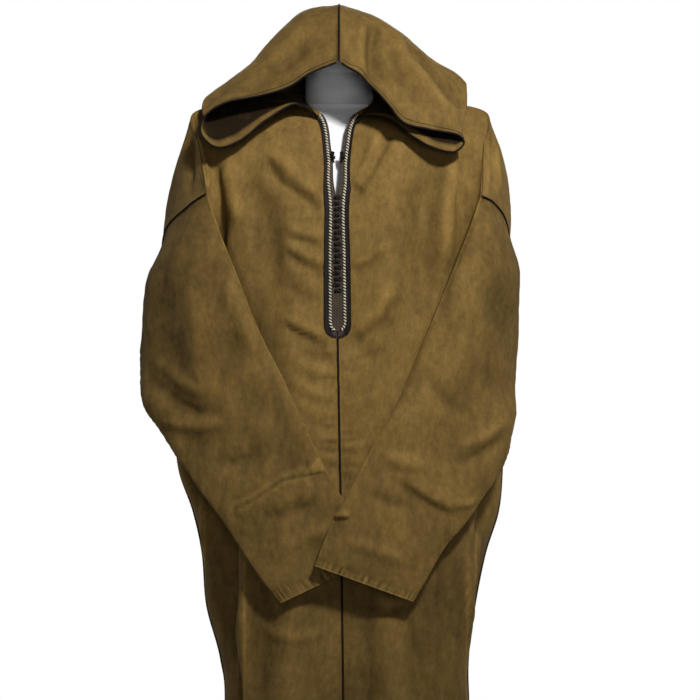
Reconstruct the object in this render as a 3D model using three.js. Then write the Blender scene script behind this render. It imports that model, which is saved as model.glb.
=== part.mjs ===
// A long hooded thobe on a limbless dress form, in millimetres, +Z up, front towards -Y.
// The origin is on the floor, under the middle of the whole object.
import * as THREE from "three";

// ---- driving dimensions -------------------------------------------------------------

const CLOTH = 1.8; // wall of the brushed cotton
const CENTRE_GAP = 1.6; // from the middle plane to each of two pieces that meet on it
const EDGE_INSET = 0.005; // share of a panel kept clear of the piece sewn to its edge
const BRAID_THICKNESS = 1.2;
const CORD_WIDTH = 3.6;
const CORD_HEIGHT = 2.4;
const LIFT = 1.7; // from a panel's middle surface to the underside of what is sewn on it

const HEM_HEIGHT = 96;
const V_BOTTOM = 1343; // where the neck slit closes
const PLACKET_BOTTOM = 1131;

const BRAID_WIDTH = 18;
const TWIST_OFFSET = 11; // from the front edge to the two-coloured cord
const KNOT_ROW = { top: 1340, bottom: 1196, width: 7, height: 2.6 };

const NECK_RADIUS = 52;
const NECK_TOP = 1606;
const CAP_TOP = 1618;
const CAP_RADIUS = 46;
const TORSO_BOTTOM = 850;
const POLE_RADIUS = 15;
const BASE = { radius: 190, edge: 14, height: 24 };

const SIDES = { right: -1, left: 1 }; // the wearer's right is at -X

// The armhole seam on each side, as [outwards, y, z]: the sleeve head, the front of the
// sleeve, the outermost point, the back, the underarm, then up the hidden chest side.
const ARMHOLE = {
  right: [
    [197, -118, 1346],
    [226, -98, 1326],
    [262, -45, 1292],
    [266, -2, 1236],
    [240, 6, 1178],
    [213, -38, 1200],
    [197, -74, 1245],
    [191, -102, 1300],
  ],
  left: [
    [212, -116, 1342],
    [232, -98, 1331],
    [253, -45, 1302],
    [260, -2, 1238],
    [240, 6, 1178],
    [216, -38, 1200],
    [204, -74, 1245],
    [204, -101, 1298],
  ],
};

// The shoulder ridge, where the front turns over into the back.
const RIDGE = { right: [219, -52, 1472], left: [221, -54, 1473] };

// Front panel above the underarm: three points a row, from the neck or centre edge outwards.
// Their outer end is the armhole.
const FRONT_YOKE = [
  [[66, -8, 1494], [132, -14, 1491], null],
  [[21, -67, 1463], [92, -86, 1446], [160, -100, 1402]],
  [[9, -93, 1411], [84, -120, 1385], [152, -119, 1338]],
  [[1, -118, V_BOTTOM], [80, -136, 1312], [155, -121, 1275]],
  [[1, -129, 1250], [80, -139, 1232], [160, -110, 1215]],
];

// Back panel above the underarm, from the armhole to the centre of the back.
const BACK_YOKE = [
  [null, [132, -12, 1491], [66, -6, 1495], [46, 44, 1503], [0, 64, 1506]],
  [[243, -28, 1400], [170, 40, 1456], [105, 66, 1468], [52, 82, 1466], [0, 88, 1464]],
  [[257, 30, 1325], [190, 88, 1368], [120, 106, 1384], [58, 116, 1386], [0, 118, 1386]],
  [[248, 52, 1250], [185, 104, 1286], [120, 122, 1298], [58, 130, 1300], [0, 132, 1300]],
  [[226, 62, 1188], [175, 112, 1206], [115, 128, 1212], [55, 135, 1215], [0, 136, 1215]],
];

// Skirt sections below the underarm: height, the two side seams, front and back depth, and
// how far the pressed front fold is pushed back where a sleeve lies on it.
const SKIRT = [
  { z: 1105, right: 234, left: 236, front: 134, back: 137, pushed: 22 },
  { z: 1000, right: 247, left: 248, front: 137, back: 138, pushed: 24 },
  { z: 930, right: 244, left: 248, front: 138, back: 139, pushed: 18 },
  { z: 865, right: 222, left: 242, front: 138, back: 139, pushed: 8 },
  { z: 800, right: 208, left: 222, front: 137, back: 140, pushed: 2 },
  { z: 720, right: 201, left: 206, front: 137, back: 140, pushed: 0 },
  { z: 640, right: 180, left: 196, front: 138, back: 140, pushed: 0 },
  { z: 560, right: 173, left: 197, front: 139, back: 142, pushed: 0 },
  { z: 330, right: 188, left: 206, front: 146, back: 150, pushed: 0 },
  { z: HEM_HEIGHT, right: 208, left: 222, front: 154, back: 158, pushed: 0 },
];
const PRESSED_FOLD = { right: 142, left: 186 }; // the skirt's pressed front folds
const SIDE_SEAM_Y = 8;

// Sleeve sections below the armhole: the pressed fold on the upper edge, the seam on the
// lower edge, and the thickness of the flattened tube between them.
const SLEEVES = {
  right: [
    { fold: [-178, -132, 1286], seam: [-283, -30, 1213], thick: 54 },
    { fold: [-154, -148, 1227], seam: [-294, -44, 1146], thick: 48 },
    { fold: [-119, -162, 1140], seam: [-300, -56, 1088], thick: 42 },
    { fold: [-85, -167, 1072], seam: [-294, -70, 1030], thick: 37 },
    { fold: [-57, -170, 1012], seam: [-268, -90, 990], thick: 31 },
    { fold: [-35, -170, 963], seam: [-222, -118, 926], thick: 25 },
    { fold: [-5, -168, 909], seam: [-176, -142, 865], thick: 19 },
    { fold: [28, -164, 854], seam: [-134, -152, 802], thick: 15 },
    { fold: [53, -162, 805], seam: [-86, -158, 738], thick: 12 },
  ],
  left: [
    { fold: [192, -130, 1282], seam: [263, -30, 1217], thick: 54 },
    { fold: [163, -150, 1211], seam: [265, -46, 1118], thick: 48 },
    { fold: [124, -166, 1118], seam: [263, -66, 1040], thick: 42 },
    { fold: [90, -178, 1039], seam: [258, -90, 988], thick: 36 },
    { fold: [57, -186, 982], seam: [246, -112, 941], thick: 30 },
    { fold: [28, -191, 926], seam: [205, -142, 881], thick: 23 },
    { fold: [-2, -193, 874], seam: [160, -158, 825], thick: 18 },
    { fold: [-19, -191, 835], seam: [133, -166, 782], thick: 15 },
    { fold: [-34, -188, 795], seam: [109, -171, 742], thick: 12 },
  ],
};
const OUTER_FULLNESS = 0.68; // share of a sleeve's thickness on its outer face

// The hood's front edge: from the neck, out along the lower lip, round the end of the loop
// and back along the upper lip to the centre seam.
const HOOD_EDGE = {
  right: [
    [29, -76, 1460],
    [47, -84, 1475],
    [69, -96, 1480],
    [108, -116, 1456],
    [147, -128, 1424],
    [182, -130, 1414],
    [206, -120, 1437],
    [196, -121, 1464],
    [159, -125, 1484],
    [112, -129, 1492],
    [73, -133, 1504],
    [43, -137, 1523],
    [CENTRE_GAP, -140, 1540],
  ],
  left: [
    [24, -79, 1453],
    [42, -90, 1463],
    [73, -106, 1458],
    [100, -122, 1438],
    [132, -132, 1417],
    [168, -130, 1407],
    [186, -122, 1420],
    [176, -126, 1433],
    [138, -132, 1440],
    [97, -137, 1450],
    [73, -140, 1477],
    [40, -142, 1512],
    [CENTRE_GAP, -140, 1540],
  ],
};

// Hood sections behind the edge: neck seam, lower layer on the shoulder, outer fold, slope
// of the tent, its shoulder over the form's neck, and centre seam.
const HOOD_BACK = [
  {
    neck: [33, 60, 1510],
    under: [66, 94, 1474],
    fold: [122, 142, 1394],
    slope: [104, 132, 1506],
    corner: [60, 112, 1576],
    top: [CENTRE_GAP, 92, 1606],
  },
  {
    neck: [CENTRE_GAP, 68, 1512],
    under: [CENTRE_GAP, 114, 1450],
    fold: [CENTRE_GAP, 178, 1336],
    slope: [CENTRE_GAP, 194, 1440],
    corner: [CENTRE_GAP, 174, 1520],
    top: [CENTRE_GAP, 132, 1576],
  },
];
const HOOD_SECTIONS = {
  right: [
    {
      neck: [52, -46, 1488],
      under: [112, -76, 1486],
      fold: [205, -78, 1472],
      slope: [128, -76, 1530],
      corner: [56, -72, 1596],
      top: [CENTRE_GAP, -70, 1624],
    },
    {
      neck: [68, -6, 1501],
      under: [120, -8, 1505],
      fold: [200, -14, 1496],
      slope: [130, -14, 1549],
      corner: [60, -12, 1625],
      top: [CENTRE_GAP, -10, 1637],
    },
    {
      neck: [58, 36, 1506],
      under: [112, 46, 1498],
      fold: [184, 66, 1476],
      slope: [126, 60, 1540],
      corner: [60, 48, 1608],
      top: [CENTRE_GAP, 44, 1634],
    },
    ...HOOD_BACK,
  ],
  left: [
    {
      neck: [52, -46, 1488],
      under: [112, -76, 1482],
      fold: [189, -82, 1464],
      slope: [140, -80, 1526],
      corner: [60, -74, 1592],
      top: [CENTRE_GAP, -70, 1624],
    },
    {
      neck: [68, -6, 1501],
      under: [120, -8, 1505],
      fold: [193, -14, 1518],
      slope: [142, -14, 1556],
      corner: [60, -12, 1618],
      top: [CENTRE_GAP, -10, 1637],
    },
    {
      neck: [58, 36, 1506],
      under: [112, 46, 1498],
      fold: [184, 66, 1488],
      slope: [132, 60, 1550],
      corner: [60, 48, 1605],
      top: [CENTRE_GAP, 44, 1634],
    },
    ...HOOD_BACK,
  ],
};
const HOOD_FOLD_RADIUS = 8;

// The dress form's torso: height, half width, front and back depth.
const TORSO = [
  { z: 1486, side: 53, front: 40, back: 48 },
  { z: 1479, side: 68, front: 39, back: 48 },
  { z: 1470, side: 122, front: 46, back: 56 },
  { z: 1456, side: 162, front: 53, back: 66 },
  { z: 1430, side: 186, front: 70, back: 82 },
  { z: 1380, side: 184, front: 90, back: 98 },
  { z: 1310, side: 172, front: 104, back: 104 },
  { z: 1240, side: 160, front: 110, back: 100 },
  { z: 1130, side: 142, front: 100, back: 90 },
  { z: 1030, side: 160, front: 106, back: 102 },
  { z: 950, side: 170, front: 108, back: 108 },
  { z: 880, side: 166, front: 102, back: 104 },
  { z: TORSO_BOTTOM, side: 150, front: 90, back: 92 },
];

// ---- materials ----------------------------------------------------------------------

const matte = (color, roughness) => () =>
  new THREE.MeshStandardMaterial({ color, roughness, metalness: 0 });
const cloth = matte(0x6b5430, 0.85);
const darkBraid = matte(0x1c1615, 0.8);
const twistCord = matte(0xb9b0a0, 0.75);
const formCover = matte(0xdcdcdf, 0.7);
const standMetal = () =>
  new THREE.MeshStandardMaterial({ color: 0xb8babd, roughness: 0.35, metalness: 0.9 });

// ---- curves and surfaces ------------------------------------------------------------

const vec = ([x, y, z]) => new THREE.Vector3(x, y, z);
const mirrored = (side, [x, y, z]) => new THREE.Vector3(SIDES[side] * x, y, z);
const mix = (a, b, t) => a.clone().lerp(b, t);

// A point of the smooth curve through a row of points, s from 0 to 1 along the row.
function onCurve(points, s, closed = false) {
  const spans = closed ? points.length : points.length - 1;
  const at = Math.min(Math.max(s, 0), 1) * spans;
  const i = Math.min(Math.floor(at), spans - 1);
  const t = at - i;
  const pick = (k) => {
    if (closed) return points[(k + points.length) % points.length];
    if (k < 0) return points[0].clone().multiplyScalar(2).sub(points[1]);
    if (k >= points.length) {
      return points[points.length - 1].clone().multiplyScalar(2).sub(points[points.length - 2]);
    }
    return points[k];
  };
  const [a, b, c, d] = [pick(i - 1), pick(i), pick(i + 1), pick(i + 2)];
  const wa = -0.5 * t ** 3 + t ** 2 - 0.5 * t;
  const wb = 1.5 * t ** 3 - 2.5 * t ** 2 + 1;
  const wc = -1.5 * t ** 3 + 2 * t ** 2 + 0.5 * t;
  const wd = 0.5 * t ** 3 - 0.5 * t ** 2;
  return new THREE.Vector3()
    .addScaledVector(a, wa)
    .addScaledVector(b, wb)
    .addScaledVector(c, wc)
    .addScaledVector(d, wd);
}

// The smooth surface through rows of points: u runs along a row, v from row to row.
const throughRows = (rows) => (u, v) => onCurve(rows.map((row) => onCurve(row, u)), v);

// The unit normal of a surface, turned to point away from a place inside the garment.
function outwardNormal(surface, u, v, inside) {
  const e = 1e-3;
  const du = surface(Math.min(u + e, 1), v).sub(surface(Math.max(u - e, 0), v));
  const dv = surface(u, Math.min(v + e, 1)).sub(surface(u, Math.max(v - e, 0)));
  const n = du.cross(dv).normalize();
  const away = surface(u, v).sub(inside);
  return n.dot(away) < 0 ? n.negate() : n;
}

function geometryOf(points, triangles) {
  const flat = points.flatMap((p) => [p.x, p.y, p.z]);
  const geometry = new THREE.BufferGeometry();
  geometry.setAttribute("position", new THREE.Float32BufferAttribute(flat, 3));
  let volume = 0;
  for (const [a, b, c] of triangles) {
    volume += points[a].clone().cross(points[b]).dot(points[c]);
  }
  const facing = volume > 0 ? triangles : triangles.map(([a, b, c]) => [a, c, b]);
  geometry.setIndex(facing.flat());
  geometry.computeVertexNormals();
  return geometry;
}

// A wall of even thickness on a surface, with its rims closed. A tube closes on itself in u.
function wall(surface, across, along, { tube = false, thickness = CLOTH } = {}) {
  const columns = tube ? across : across + 1;
  const points = [];
  const e = 1e-3;
  for (const face of [1, -1]) {
    for (let j = 0; j <= along; j++) {
      for (let i = 0; i < columns; i++) {
        const u = i / across;
        const v = j / along;
        const [u0, u1] = tube ? [u - e, u + e] : [Math.max(u - e, 0), Math.min(u + e, 1)];
        const du = surface(u1, v).sub(surface(u0, v));
        const dv = surface(u, Math.min(v + e, 1)).sub(surface(u, Math.max(v - e, 0)));
        const normal = du.cross(dv).normalize();
        points.push(surface(u, v).addScaledVector(normal, (face * thickness) / 2));
      }
    }
  }
  const layer = columns * (along + 1);
  const at = (i, j, inner) => (i % columns) + j * columns + (inner ? layer : 0);
  const triangles = [];
  const quad = (a, b, c, d) => triangles.push([a, b, c], [a, c, d]);
  for (let j = 0; j < along; j++) {
    for (let i = 0; i < across; i++) {
      quad(at(i, j), at(i + 1, j), at(i + 1, j + 1), at(i, j + 1));
      quad(at(i, j, true), at(i, j + 1, true), at(i + 1, j + 1, true), at(i + 1, j, true));
    }
  }
  for (let i = 0; i < across; i++) {
    quad(at(i, 0, true), at(i + 1, 0, true), at(i + 1, 0), at(i, 0));
    quad(at(i, along), at(i + 1, along), at(i + 1, along, true), at(i, along, true));
  }
  for (let j = 0; j < along && !tube; j++) {
    quad(at(0, j), at(0, j + 1), at(0, j + 1, true), at(0, j, true));
    quad(at(across, j, true), at(across, j + 1, true), at(across, j + 1), at(across, j));
  }
  return geometryOf(points, triangles);
}

// A cord laid on a surface: route holds { at, out }, out being the surface's normal there.
function cord(route, width, height, sides = 5) {
  const points = [];
  route.forEach(({ at, out }, k) => {
    const before = route[Math.max(k - 1, 0)].at;
    const after = route[Math.min(k + 1, route.length - 1)].at;
    const across = after.clone().sub(before).cross(out).normalize();
    for (let i = 0; i < sides; i++) {
      const a = (2 * Math.PI * i) / sides;
      points.push(
        at
          .clone()
          .addScaledVector(across, (Math.cos(a) * width) / 2)
          .addScaledVector(out, (Math.sin(a) * height) / 2 + height / 2),
      );
    }
  });
  const triangles = [];
  for (let k = 0; k + 1 < route.length; k++) {
    for (let i = 0; i < sides; i++) {
      const a = k * sides + i;
      const b = k * sides + ((i + 1) % sides);
      triangles.push([a, b, b + sides], [a, b + sides, a + sides]);
    }
  }
  const last = (route.length - 1) * sides;
  for (let i = 1; i + 1 < sides; i++) {
    triangles.push([0, i + 1, i], [last, last + i, last + i + 1]);
  }
  return geometryOf(points, triangles);
}

// ---- the panels' surfaces -----------------------------------------------------------

const armholePoint = (side, s) => onCurve(ARMHOLE[side].map((p) => mirrored(side, p)), s, true);

// Points of one front panel: rows from the shoulder down to the hem, each from the neck or
// centre edge out to the armhole or side seam.
function frontRows(side) {
  const yoke = FRONT_YOKE.map((row, k) => {
    const points = row.map((p) => mirrored(side, p ?? RIDGE[side]));
    const edge = armholePoint(side, 1 - k / 8);
    const turn = points[2];
    return [...points, mix(turn, edge, 0.4), mix(turn, edge, 0.75), edge];
  });
  const pleat = PRESSED_FOLD[side];
  const skirt = SKIRT.map((section, k) => {
    const { z, front, pushed } = section;
    const seam = section[side];
    const crisp = Math.min(1, (k + 1) / 3);
    const fold = Math.min(pleat + (seam - 204) * 0.3, seam - 22);
    return [
      [1, -front, z],
      [fold * 0.52, -front - 4, z],
      [fold, -front + 26 + pushed, z],
      [fold + 5 + 12 * (1 - crisp), -front + 64 + pushed, z],
      [seam - 9, -front + 98 + pushed / 2, z],
      [seam, SIDE_SEAM_Y, z],
    ].map((p) => mirrored(side, p));
  });
  return [...yoke, ...skirt];
}

// Points of the back panel, from one armhole or side seam round to the other.
function backRows() {
  const yoke = (side, row, k) => {
    const edge = armholePoint(side, k / 8);
    const points = row.map((p) => mirrored(side, p ?? RIDGE[side]));
    if (k === 0) return [edge, ...[0.75, 0.4].map((t) => mix(points[0], edge, t)), ...points];
    const spans = points.length;
    const between = [0.25, 0.6].map((t) => onCurve([edge, ...points], t / spans));
    return [edge, ...between, ...points];
  };
  const half = (side) => [
    ...BACK_YOKE.map((row, k) => yoke(side, row, k)),
    ...SKIRT.map(({ z, [side]: seam, back }) =>
      [
        [seam, SIDE_SEAM_Y, z],
        [seam - 1.5, 23, z],
        [seam - 4, 45, z],
        [seam - 10, 66, z],
        [seam * 0.8, back - 26, z],
        [seam * 0.52, back - 8, z],
        [seam * 0.26, back - 1, z],
        [0, back, z],
      ].map((p) => mirrored(side, p)),
    ),
  ];
  const right = half("right");
  const left = half("left");
  return right.map((row, k) => [...row, ...left[k].slice(0, -1).reverse()]);
}

const wholeFront = { right: throughRows(frontRows("right")), left: throughRows(frontRows("left")) };
const wholeBack = throughRows(backRows());
const ARMHOLE_SHARE = 8 / (BACK_YOKE.length + SKIRT.length - 1); // of a panel's rows

// The armhole as the two panels leave it: round the back's edge, then back up the front's.
function armholeEdge(side, u) {
  const turn = u - Math.floor(u);
  if (turn > 0.5) return wholeFront[side](1, (1 - turn) * ARMHOLE_SHARE);
  return wholeBack(side === "right" ? 0 : 1, turn * ARMHOLE_SHARE);
}

// A point round a sleeve: u = 0 on the pressed fold, then over the outer face to the seam.
function sleeveSurface(side) {
  const sections = SLEEVES[side];
  const middle = sections.map(({ fold, seam }) => mix(vec(fold), vec(seam), 0.5));
  const ring = (k, u) => {
    if (k === 0) return armholeEdge(side, u);
    const { fold, seam, thick } = sections[k - 1];
    const reach = vec(seam).sub(vec(fold)).multiplyScalar(0.5);
    const next = middle[Math.min(k, middle.length - 1)];
    const before = middle[Math.max(k - 2, 0)];
    const out = reach.clone().cross(next.clone().sub(before)).normalize();
    if (out.y > 0) out.negate();
    const a = 2 * Math.PI * u;
    const share = Math.sin(a) > 0 ? OUTER_FULLNESS : 1 - OUTER_FULLNESS;
    return middle[k - 1]
      .clone()
      .addScaledVector(reach, -Math.cos(a))
      .addScaledVector(out, Math.sin(a) * thick * share);
  };
  const start = 0.016; // the seam gap at the armhole
  return (u, v) => {
    const turn = u - Math.floor(u);
    const points = [];
    for (let k = 0; k <= sections.length; k++) points.push(ring(k, turn));
    return onCurve(points, start + (1 - start) * v);
  };
}

// The thirteen points of a hood section, placed as on the front edge.
function hoodSection({ neck, under, fold, slope, corner, top }) {
  const lift = new THREE.Vector3(0, 0, HOOD_FOLD_RADIUS);
  const turn = vec(fold);
  const inwards = vec(slope).sub(turn).setZ(0).normalize().multiplyScalar(HOOD_FOLD_RADIUS);
  const low = turn.clone().add(inwards).sub(lift);
  const high = turn.clone().add(inwards).add(lift);
  const lower = [vec(neck), vec(under), low];
  const upper = [high, vec(slope), vec(corner), vec(top)];
  return [
    ...[0, 1, 2, 3, 4].map((i) => onCurve(lower, i / 4)),
    turn,
    ...[0, 1, 2, 3, 4, 5, 6].map((i) => onCurve(upper, i / 6)),
  ];
}

function hoodRows(side) {
  const flip = (p) => new THREE.Vector3(SIDES[side] * p.x, p.y, p.z);
  return [HOOD_EDGE[side].map(vec), ...HOOD_SECTIONS[side].map(hoodSection)].map((row) =>
    row.map(flip),
  );
}

const inner = (surface, u0, u1, v0) => (u, v) => surface(u0 + (u1 - u0) * u, v0 + (1 - v0) * v);
const frontPanel = (side) =>
  inner(wholeFront[side], 0, 1 - 2.5 * EDGE_INSET, EDGE_INSET);
const fronts = { right: frontPanel("right"), left: frontPanel("left") };
const back = inner(wholeBack, EDGE_INSET, 1 - EDGE_INSET, EDGE_INSET);
const sleeves = { right: sleeveSurface("right"), left: sleeveSurface("left") };
const hoods = { right: throughRows(hoodRows("right")), left: throughRows(hoodRows("left")) };

// ---- trimming -----------------------------------------------------------------------

// The braid turns up with the cloth towards the neck, and narrows there.
const NARROW = { from: 1335, to: 1425, share: 0.62 };
function narrowing(z) {
  const t = Math.min(Math.max((z - NARROW.from) / (NARROW.to - NARROW.from), 0), 1);
  return 1 - (1 - NARROW.share) * t * t * (3 - 2 * t);
}

// Where a front's centre edge is at a given height.
function edgeAt(side, z) {
  let [low, high] = [0, 1];
  for (let i = 0; i < 40; i++) {
    const v = (low + high) / 2;
    if (fronts[side](0, v).z > z) low = v;
    else high = v;
  }
  return low;
}

// A place on a front panel, a width in from its centre edge and a lift off its surface.
function onFront(side, v, width, lift) {
  const surface = fronts[side];
  const e = 1e-3;
  const u = (width * e) / surface(e, v).distanceTo(surface(0, v));
  const out = outwardNormal(surface, u, v, new THREE.Vector3(0, 60, surface(0, v).z));
  return { at: surface(u, v).addScaledVector(out, lift), out };
}

const steps = (from, to, count) =>
  Array.from({ length: count + 1 }, (_, i) => from + ((to - from) * i) / count);

// One side of the braid round the neck slit, rounded off at its lower end.
function braid(side) {
  const top = edgeAt(side, 1453);
  const bottom = edgeAt(side, PLACKET_BOTTOM);
  const reach = (v) => {
    const above = Math.max(fronts[side](0, v).z - PLACKET_BOTTOM, 0);
    const round = Math.min(above / BRAID_WIDTH, 1);
    const width = BRAID_WIDTH * narrowing(above + PLACKET_BOTTOM);
    return width * Math.sqrt(1 - (1 - round) ** 2) + 1.5;
  };
  const surface = (u, v) => {
    const w = top + (bottom - top) * v ** 0.8;
    return onFront(side, w, 0.6 + (reach(w) - 0.6) * u, LIFT + BRAID_THICKNESS / 2).at;
  };
  return wall(surface, 2, 22, { thickness: BRAID_THICKNESS });
}

function twist(side) {
  const top = edgeAt(side, 1451);
  const bottom = edgeAt(side, PLACKET_BOTTOM + 10);
  const lift = LIFT + BRAID_THICKNESS + 0.4;
  const route = steps(top, bottom, 20).map((v) =>
    onFront(side, v, TWIST_OFFSET * narrowing(fronts[side](0, v).z), lift),
  );
  return cord(route, 3.2, 2.6);
}

function knotRow() {
  const lift = LIFT + BRAID_THICKNESS + 0.4;
  const route = steps(KNOT_ROW.top, KNOT_ROW.bottom, 8).map((z) => {
    const { at, out } = onFront("left", edgeAt("left", z), 0, lift);
    return { at: at.setX(0), out: out.setX(0).normalize() };
  });
  return cord(route, KNOT_ROW.width, KNOT_ROW.height);
}

function neckKnot(side) {
  const { at } = onFront(side, edgeAt(side, 1400), 0, 6);
  const ball = new THREE.SphereGeometry(4.6, 8, 6);
  return ball.translate(SIDES[side] * 5.2, at.y - 4, at.z);
}

function frontSeamCord() {
  const route = steps(PLACKET_BOTTOM - 4, HEM_HEIGHT + 1, 20).map((z) => {
    const { at, out } = onFront("left", edgeAt("left", z), 0, LIFT);
    return { at: at.setX(0), out: out.setX(0).normalize() };
  });
  return cord(route, CORD_WIDTH, CORD_HEIGHT);
}

// The cord down a side seam, from under the sleeve to the hem.
function sideCord(side) {
  const first = 4 / (SKIRT.length + 4);
  const route = steps(first + 0.03, 0.998, 20).map((v) => {
    const at = fronts[side](1, v);
    const out = new THREE.Vector3(SIDES[side], 0, 0);
    return { at: at.addScaledVector(out, LIFT), out };
  });
  return cord(route, CORD_WIDTH, CORD_HEIGHT);
}

// The cord over the part of an armhole seam that shows, from the sleeve head to the back.
function armholeCord(side) {
  const route = steps(0.02, 0.44, 14).map((s) => {
    const at = armholeEdge(side, s);
    const out = outwardNormal(sleeves[side], s, 0.03, new THREE.Vector3(SIDES[side] * 205, 0, 1262));
    return { at: at.addScaledVector(out, LIFT + 1.2), out };
  });
  return cord(route, CORD_WIDTH, CORD_HEIGHT);
}

// The cord bound round one side of the hood's opening.
function hoodEdgeCord(side) {
  const route = steps(0.02, 0.994, 30).map((u) => {
    const at = hoods[side](u, 0);
    const out = at.clone().sub(hoods[side](u, 0.02)).normalize();
    return { at: at.addScaledVector(out, 1), out };
  });
  return cord(route, CORD_WIDTH, CORD_HEIGHT);
}

// The cord along the hood's centre seam, over the top and down the back.
function hoodSeamCord() {
  const along = steps(0.02, 1, 12).map((v) => hoods.left(1, v));
  const down = steps(1, 0.46, 10).slice(1).map((u) => hoods.left(u, 1));
  const places = [...along, ...down].map((p) => p.setX(0));
  const route = places.map((at, k) => {
    const run = places[Math.min(k + 1, places.length - 1)].clone().sub(places[Math.max(k - 1, 0)]);
    const out = new THREE.Vector3(0, -run.z, run.y).normalize();
    return { at: at.clone().addScaledVector(out, LIFT), out };
  });
  return cord(route, CORD_WIDTH, CORD_HEIGHT);
}

// ---- the dress form -----------------------------------------------------------------

function torso() {
  const around = 28;
  const points = [];
  const triangles = [];
  for (const { z, side, front, back: rear } of TORSO) {
    for (let i = 0; i < around; i++) {
      const a = (2 * Math.PI * i) / around;
      const depth = Math.sin(a) < 0 ? front : rear;
      const fullness = Math.abs(Math.sin(a)) ** 0.85 * Math.sign(Math.sin(a));
      points.push(new THREE.Vector3(side * Math.cos(a), depth * fullness, z));
    }
  }
  for (let k = 0; k + 1 < TORSO.length; k++) {
    for (let i = 0; i < around; i++) {
      const a = k * around + i;
      const b = k * around + ((i + 1) % around);
      triangles.push([a, b, b + around], [a, b + around, a + around]);
    }
  }
  const last = (TORSO.length - 1) * around;
  for (let i = 1; i + 1 < around; i++) {
    triangles.push([0, i + 1, i], [last, last + i, last + i + 1]);
  }
  return geometryOf(points, triangles);
}

// A solid of revolution about the vertical axis, from [radius, height] pairs.
function turned(profile, segments) {
  const outline = profile.map(([r, z]) => new THREE.Vector2(r, z));
  return new THREE.LatheGeometry(outline, segments).rotateX(Math.PI / 2);
}

const AIR = 0.3; // between the form's own pieces
const NECK_BOTTOM = TORSO[0].z;

function formNeck() {
  const low = NECK_BOTTOM + AIR;
  const high = NECK_TOP - AIR;
  return turned([[0, low], [NECK_RADIUS, low], [NECK_RADIUS - 2, high], [0, high]], 28);
}

function formCap() {
  const edge = 4;
  const rim = [[CAP_RADIUS, NECK_TOP], [CAP_RADIUS, CAP_TOP - edge], [CAP_RADIUS - edge, CAP_TOP]];
  return turned([[0, NECK_TOP], ...rim, [0, CAP_TOP]], 28);
}

function formPole() {
  const low = BASE.height + AIR;
  const high = TORSO_BOTTOM - AIR;
  return turned([[0, low], [POLE_RADIUS, low], [POLE_RADIUS, high], [0, high]], 20);
}

function formBase() {
  const { radius, edge, height } = BASE;
  const rim = [[radius, 0], [radius, edge - 3], [radius - 3, edge]];
  return turned([[0, 0], ...rim, [34, height], [0, height]], 40);
}

// ---- the object ---------------------------------------------------------------------

const object = new THREE.Group();
const garmentOnForm = new THREE.Group();
object.add(garmentOnForm);
function add(name, geometry, material) {
  const mesh = new THREE.Mesh(geometry, material());
  mesh.name = name;
  garmentOnForm.add(mesh);
}

for (const side of Object.keys(SIDES)) {
  add(`front_${side}`, wall(fronts[side], 12, 26), cloth);
  add(`sleeve_${side}`, wall(sleeves[side], 18, 16, { tube: true }), cloth);
  add(`hood_${side}`, wall(hoods[side], 22, 11), cloth);
  add(`placket_braid_${side}`, braid(side), darkBraid);
  add(`placket_twist_${side}`, twist(side), twistCord);
  add(`neck_knot_${side}`, neckKnot(side), darkBraid);
  add(`side_cord_${side}`, sideCord(side), darkBraid);
  add(`armhole_cord_${side}`, armholeCord(side), darkBraid);
  add(`hood_edge_cord_${side}`, hoodEdgeCord(side), darkBraid);
}
add("back", wall(back, 24, 26), cloth);
add("knot_row", knotRow(), darkBraid);
add("front_seam_cord", frontSeamCord(), darkBraid);
add("hood_seam_cord", hoodSeamCord(), darkBraid);
add("form_torso", torso(), formCover);
add("form_neck", formNeck(), formCover);
add("form_cap", formCap(), formCover);
add("form_pole", formPole(), standMetal);
add("form_base", formBase(), standMetal);

// The stand's axis moves a little, so that the origin is under the middle of the whole object.
const box = new THREE.Box3().setFromObject(garmentOnForm, true);
garmentOnForm.position.set(-(box.min.x + box.max.x) / 2, -(box.min.y + box.max.y) / 2, -box.min.z);

export default object;
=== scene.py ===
"""The looks of a long hooded thobe on a limbless dress form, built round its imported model.

Every shape is worked out in millimetres, +Z up and the front towards -Y, in the frame in which
the stand's axis is x = 0, y = 0, and goes to metres and to the row's frame when it is made.
"""

import math

import bpy
import numpy as np
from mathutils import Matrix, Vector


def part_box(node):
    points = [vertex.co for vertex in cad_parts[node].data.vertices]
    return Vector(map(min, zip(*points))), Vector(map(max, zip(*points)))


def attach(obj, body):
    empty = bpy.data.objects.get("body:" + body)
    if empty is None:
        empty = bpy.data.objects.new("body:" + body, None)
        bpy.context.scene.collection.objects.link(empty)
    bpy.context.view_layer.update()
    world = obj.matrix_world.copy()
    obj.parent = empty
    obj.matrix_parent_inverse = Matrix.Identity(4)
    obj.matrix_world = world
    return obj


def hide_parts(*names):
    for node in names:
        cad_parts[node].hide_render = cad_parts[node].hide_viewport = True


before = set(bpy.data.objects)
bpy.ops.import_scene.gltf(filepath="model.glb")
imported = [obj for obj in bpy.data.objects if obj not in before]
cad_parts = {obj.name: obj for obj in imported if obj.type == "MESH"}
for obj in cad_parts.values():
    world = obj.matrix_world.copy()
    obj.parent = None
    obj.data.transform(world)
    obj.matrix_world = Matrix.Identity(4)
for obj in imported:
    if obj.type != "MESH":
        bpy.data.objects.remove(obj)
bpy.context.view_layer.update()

MM = 0.001
POLE_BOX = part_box("form_pole")
SHIFT = np.array([(POLE_BOX[0][k] + POLE_BOX[1][k]) / 2 / MM for k in (0, 1)] + [0.0])
RIGHT, LEFT = "right", "left"
SIDES = {RIGHT: -1, LEFT: 1}

# ---- driving sizes, in mm -----------------------------------------------------------

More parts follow.
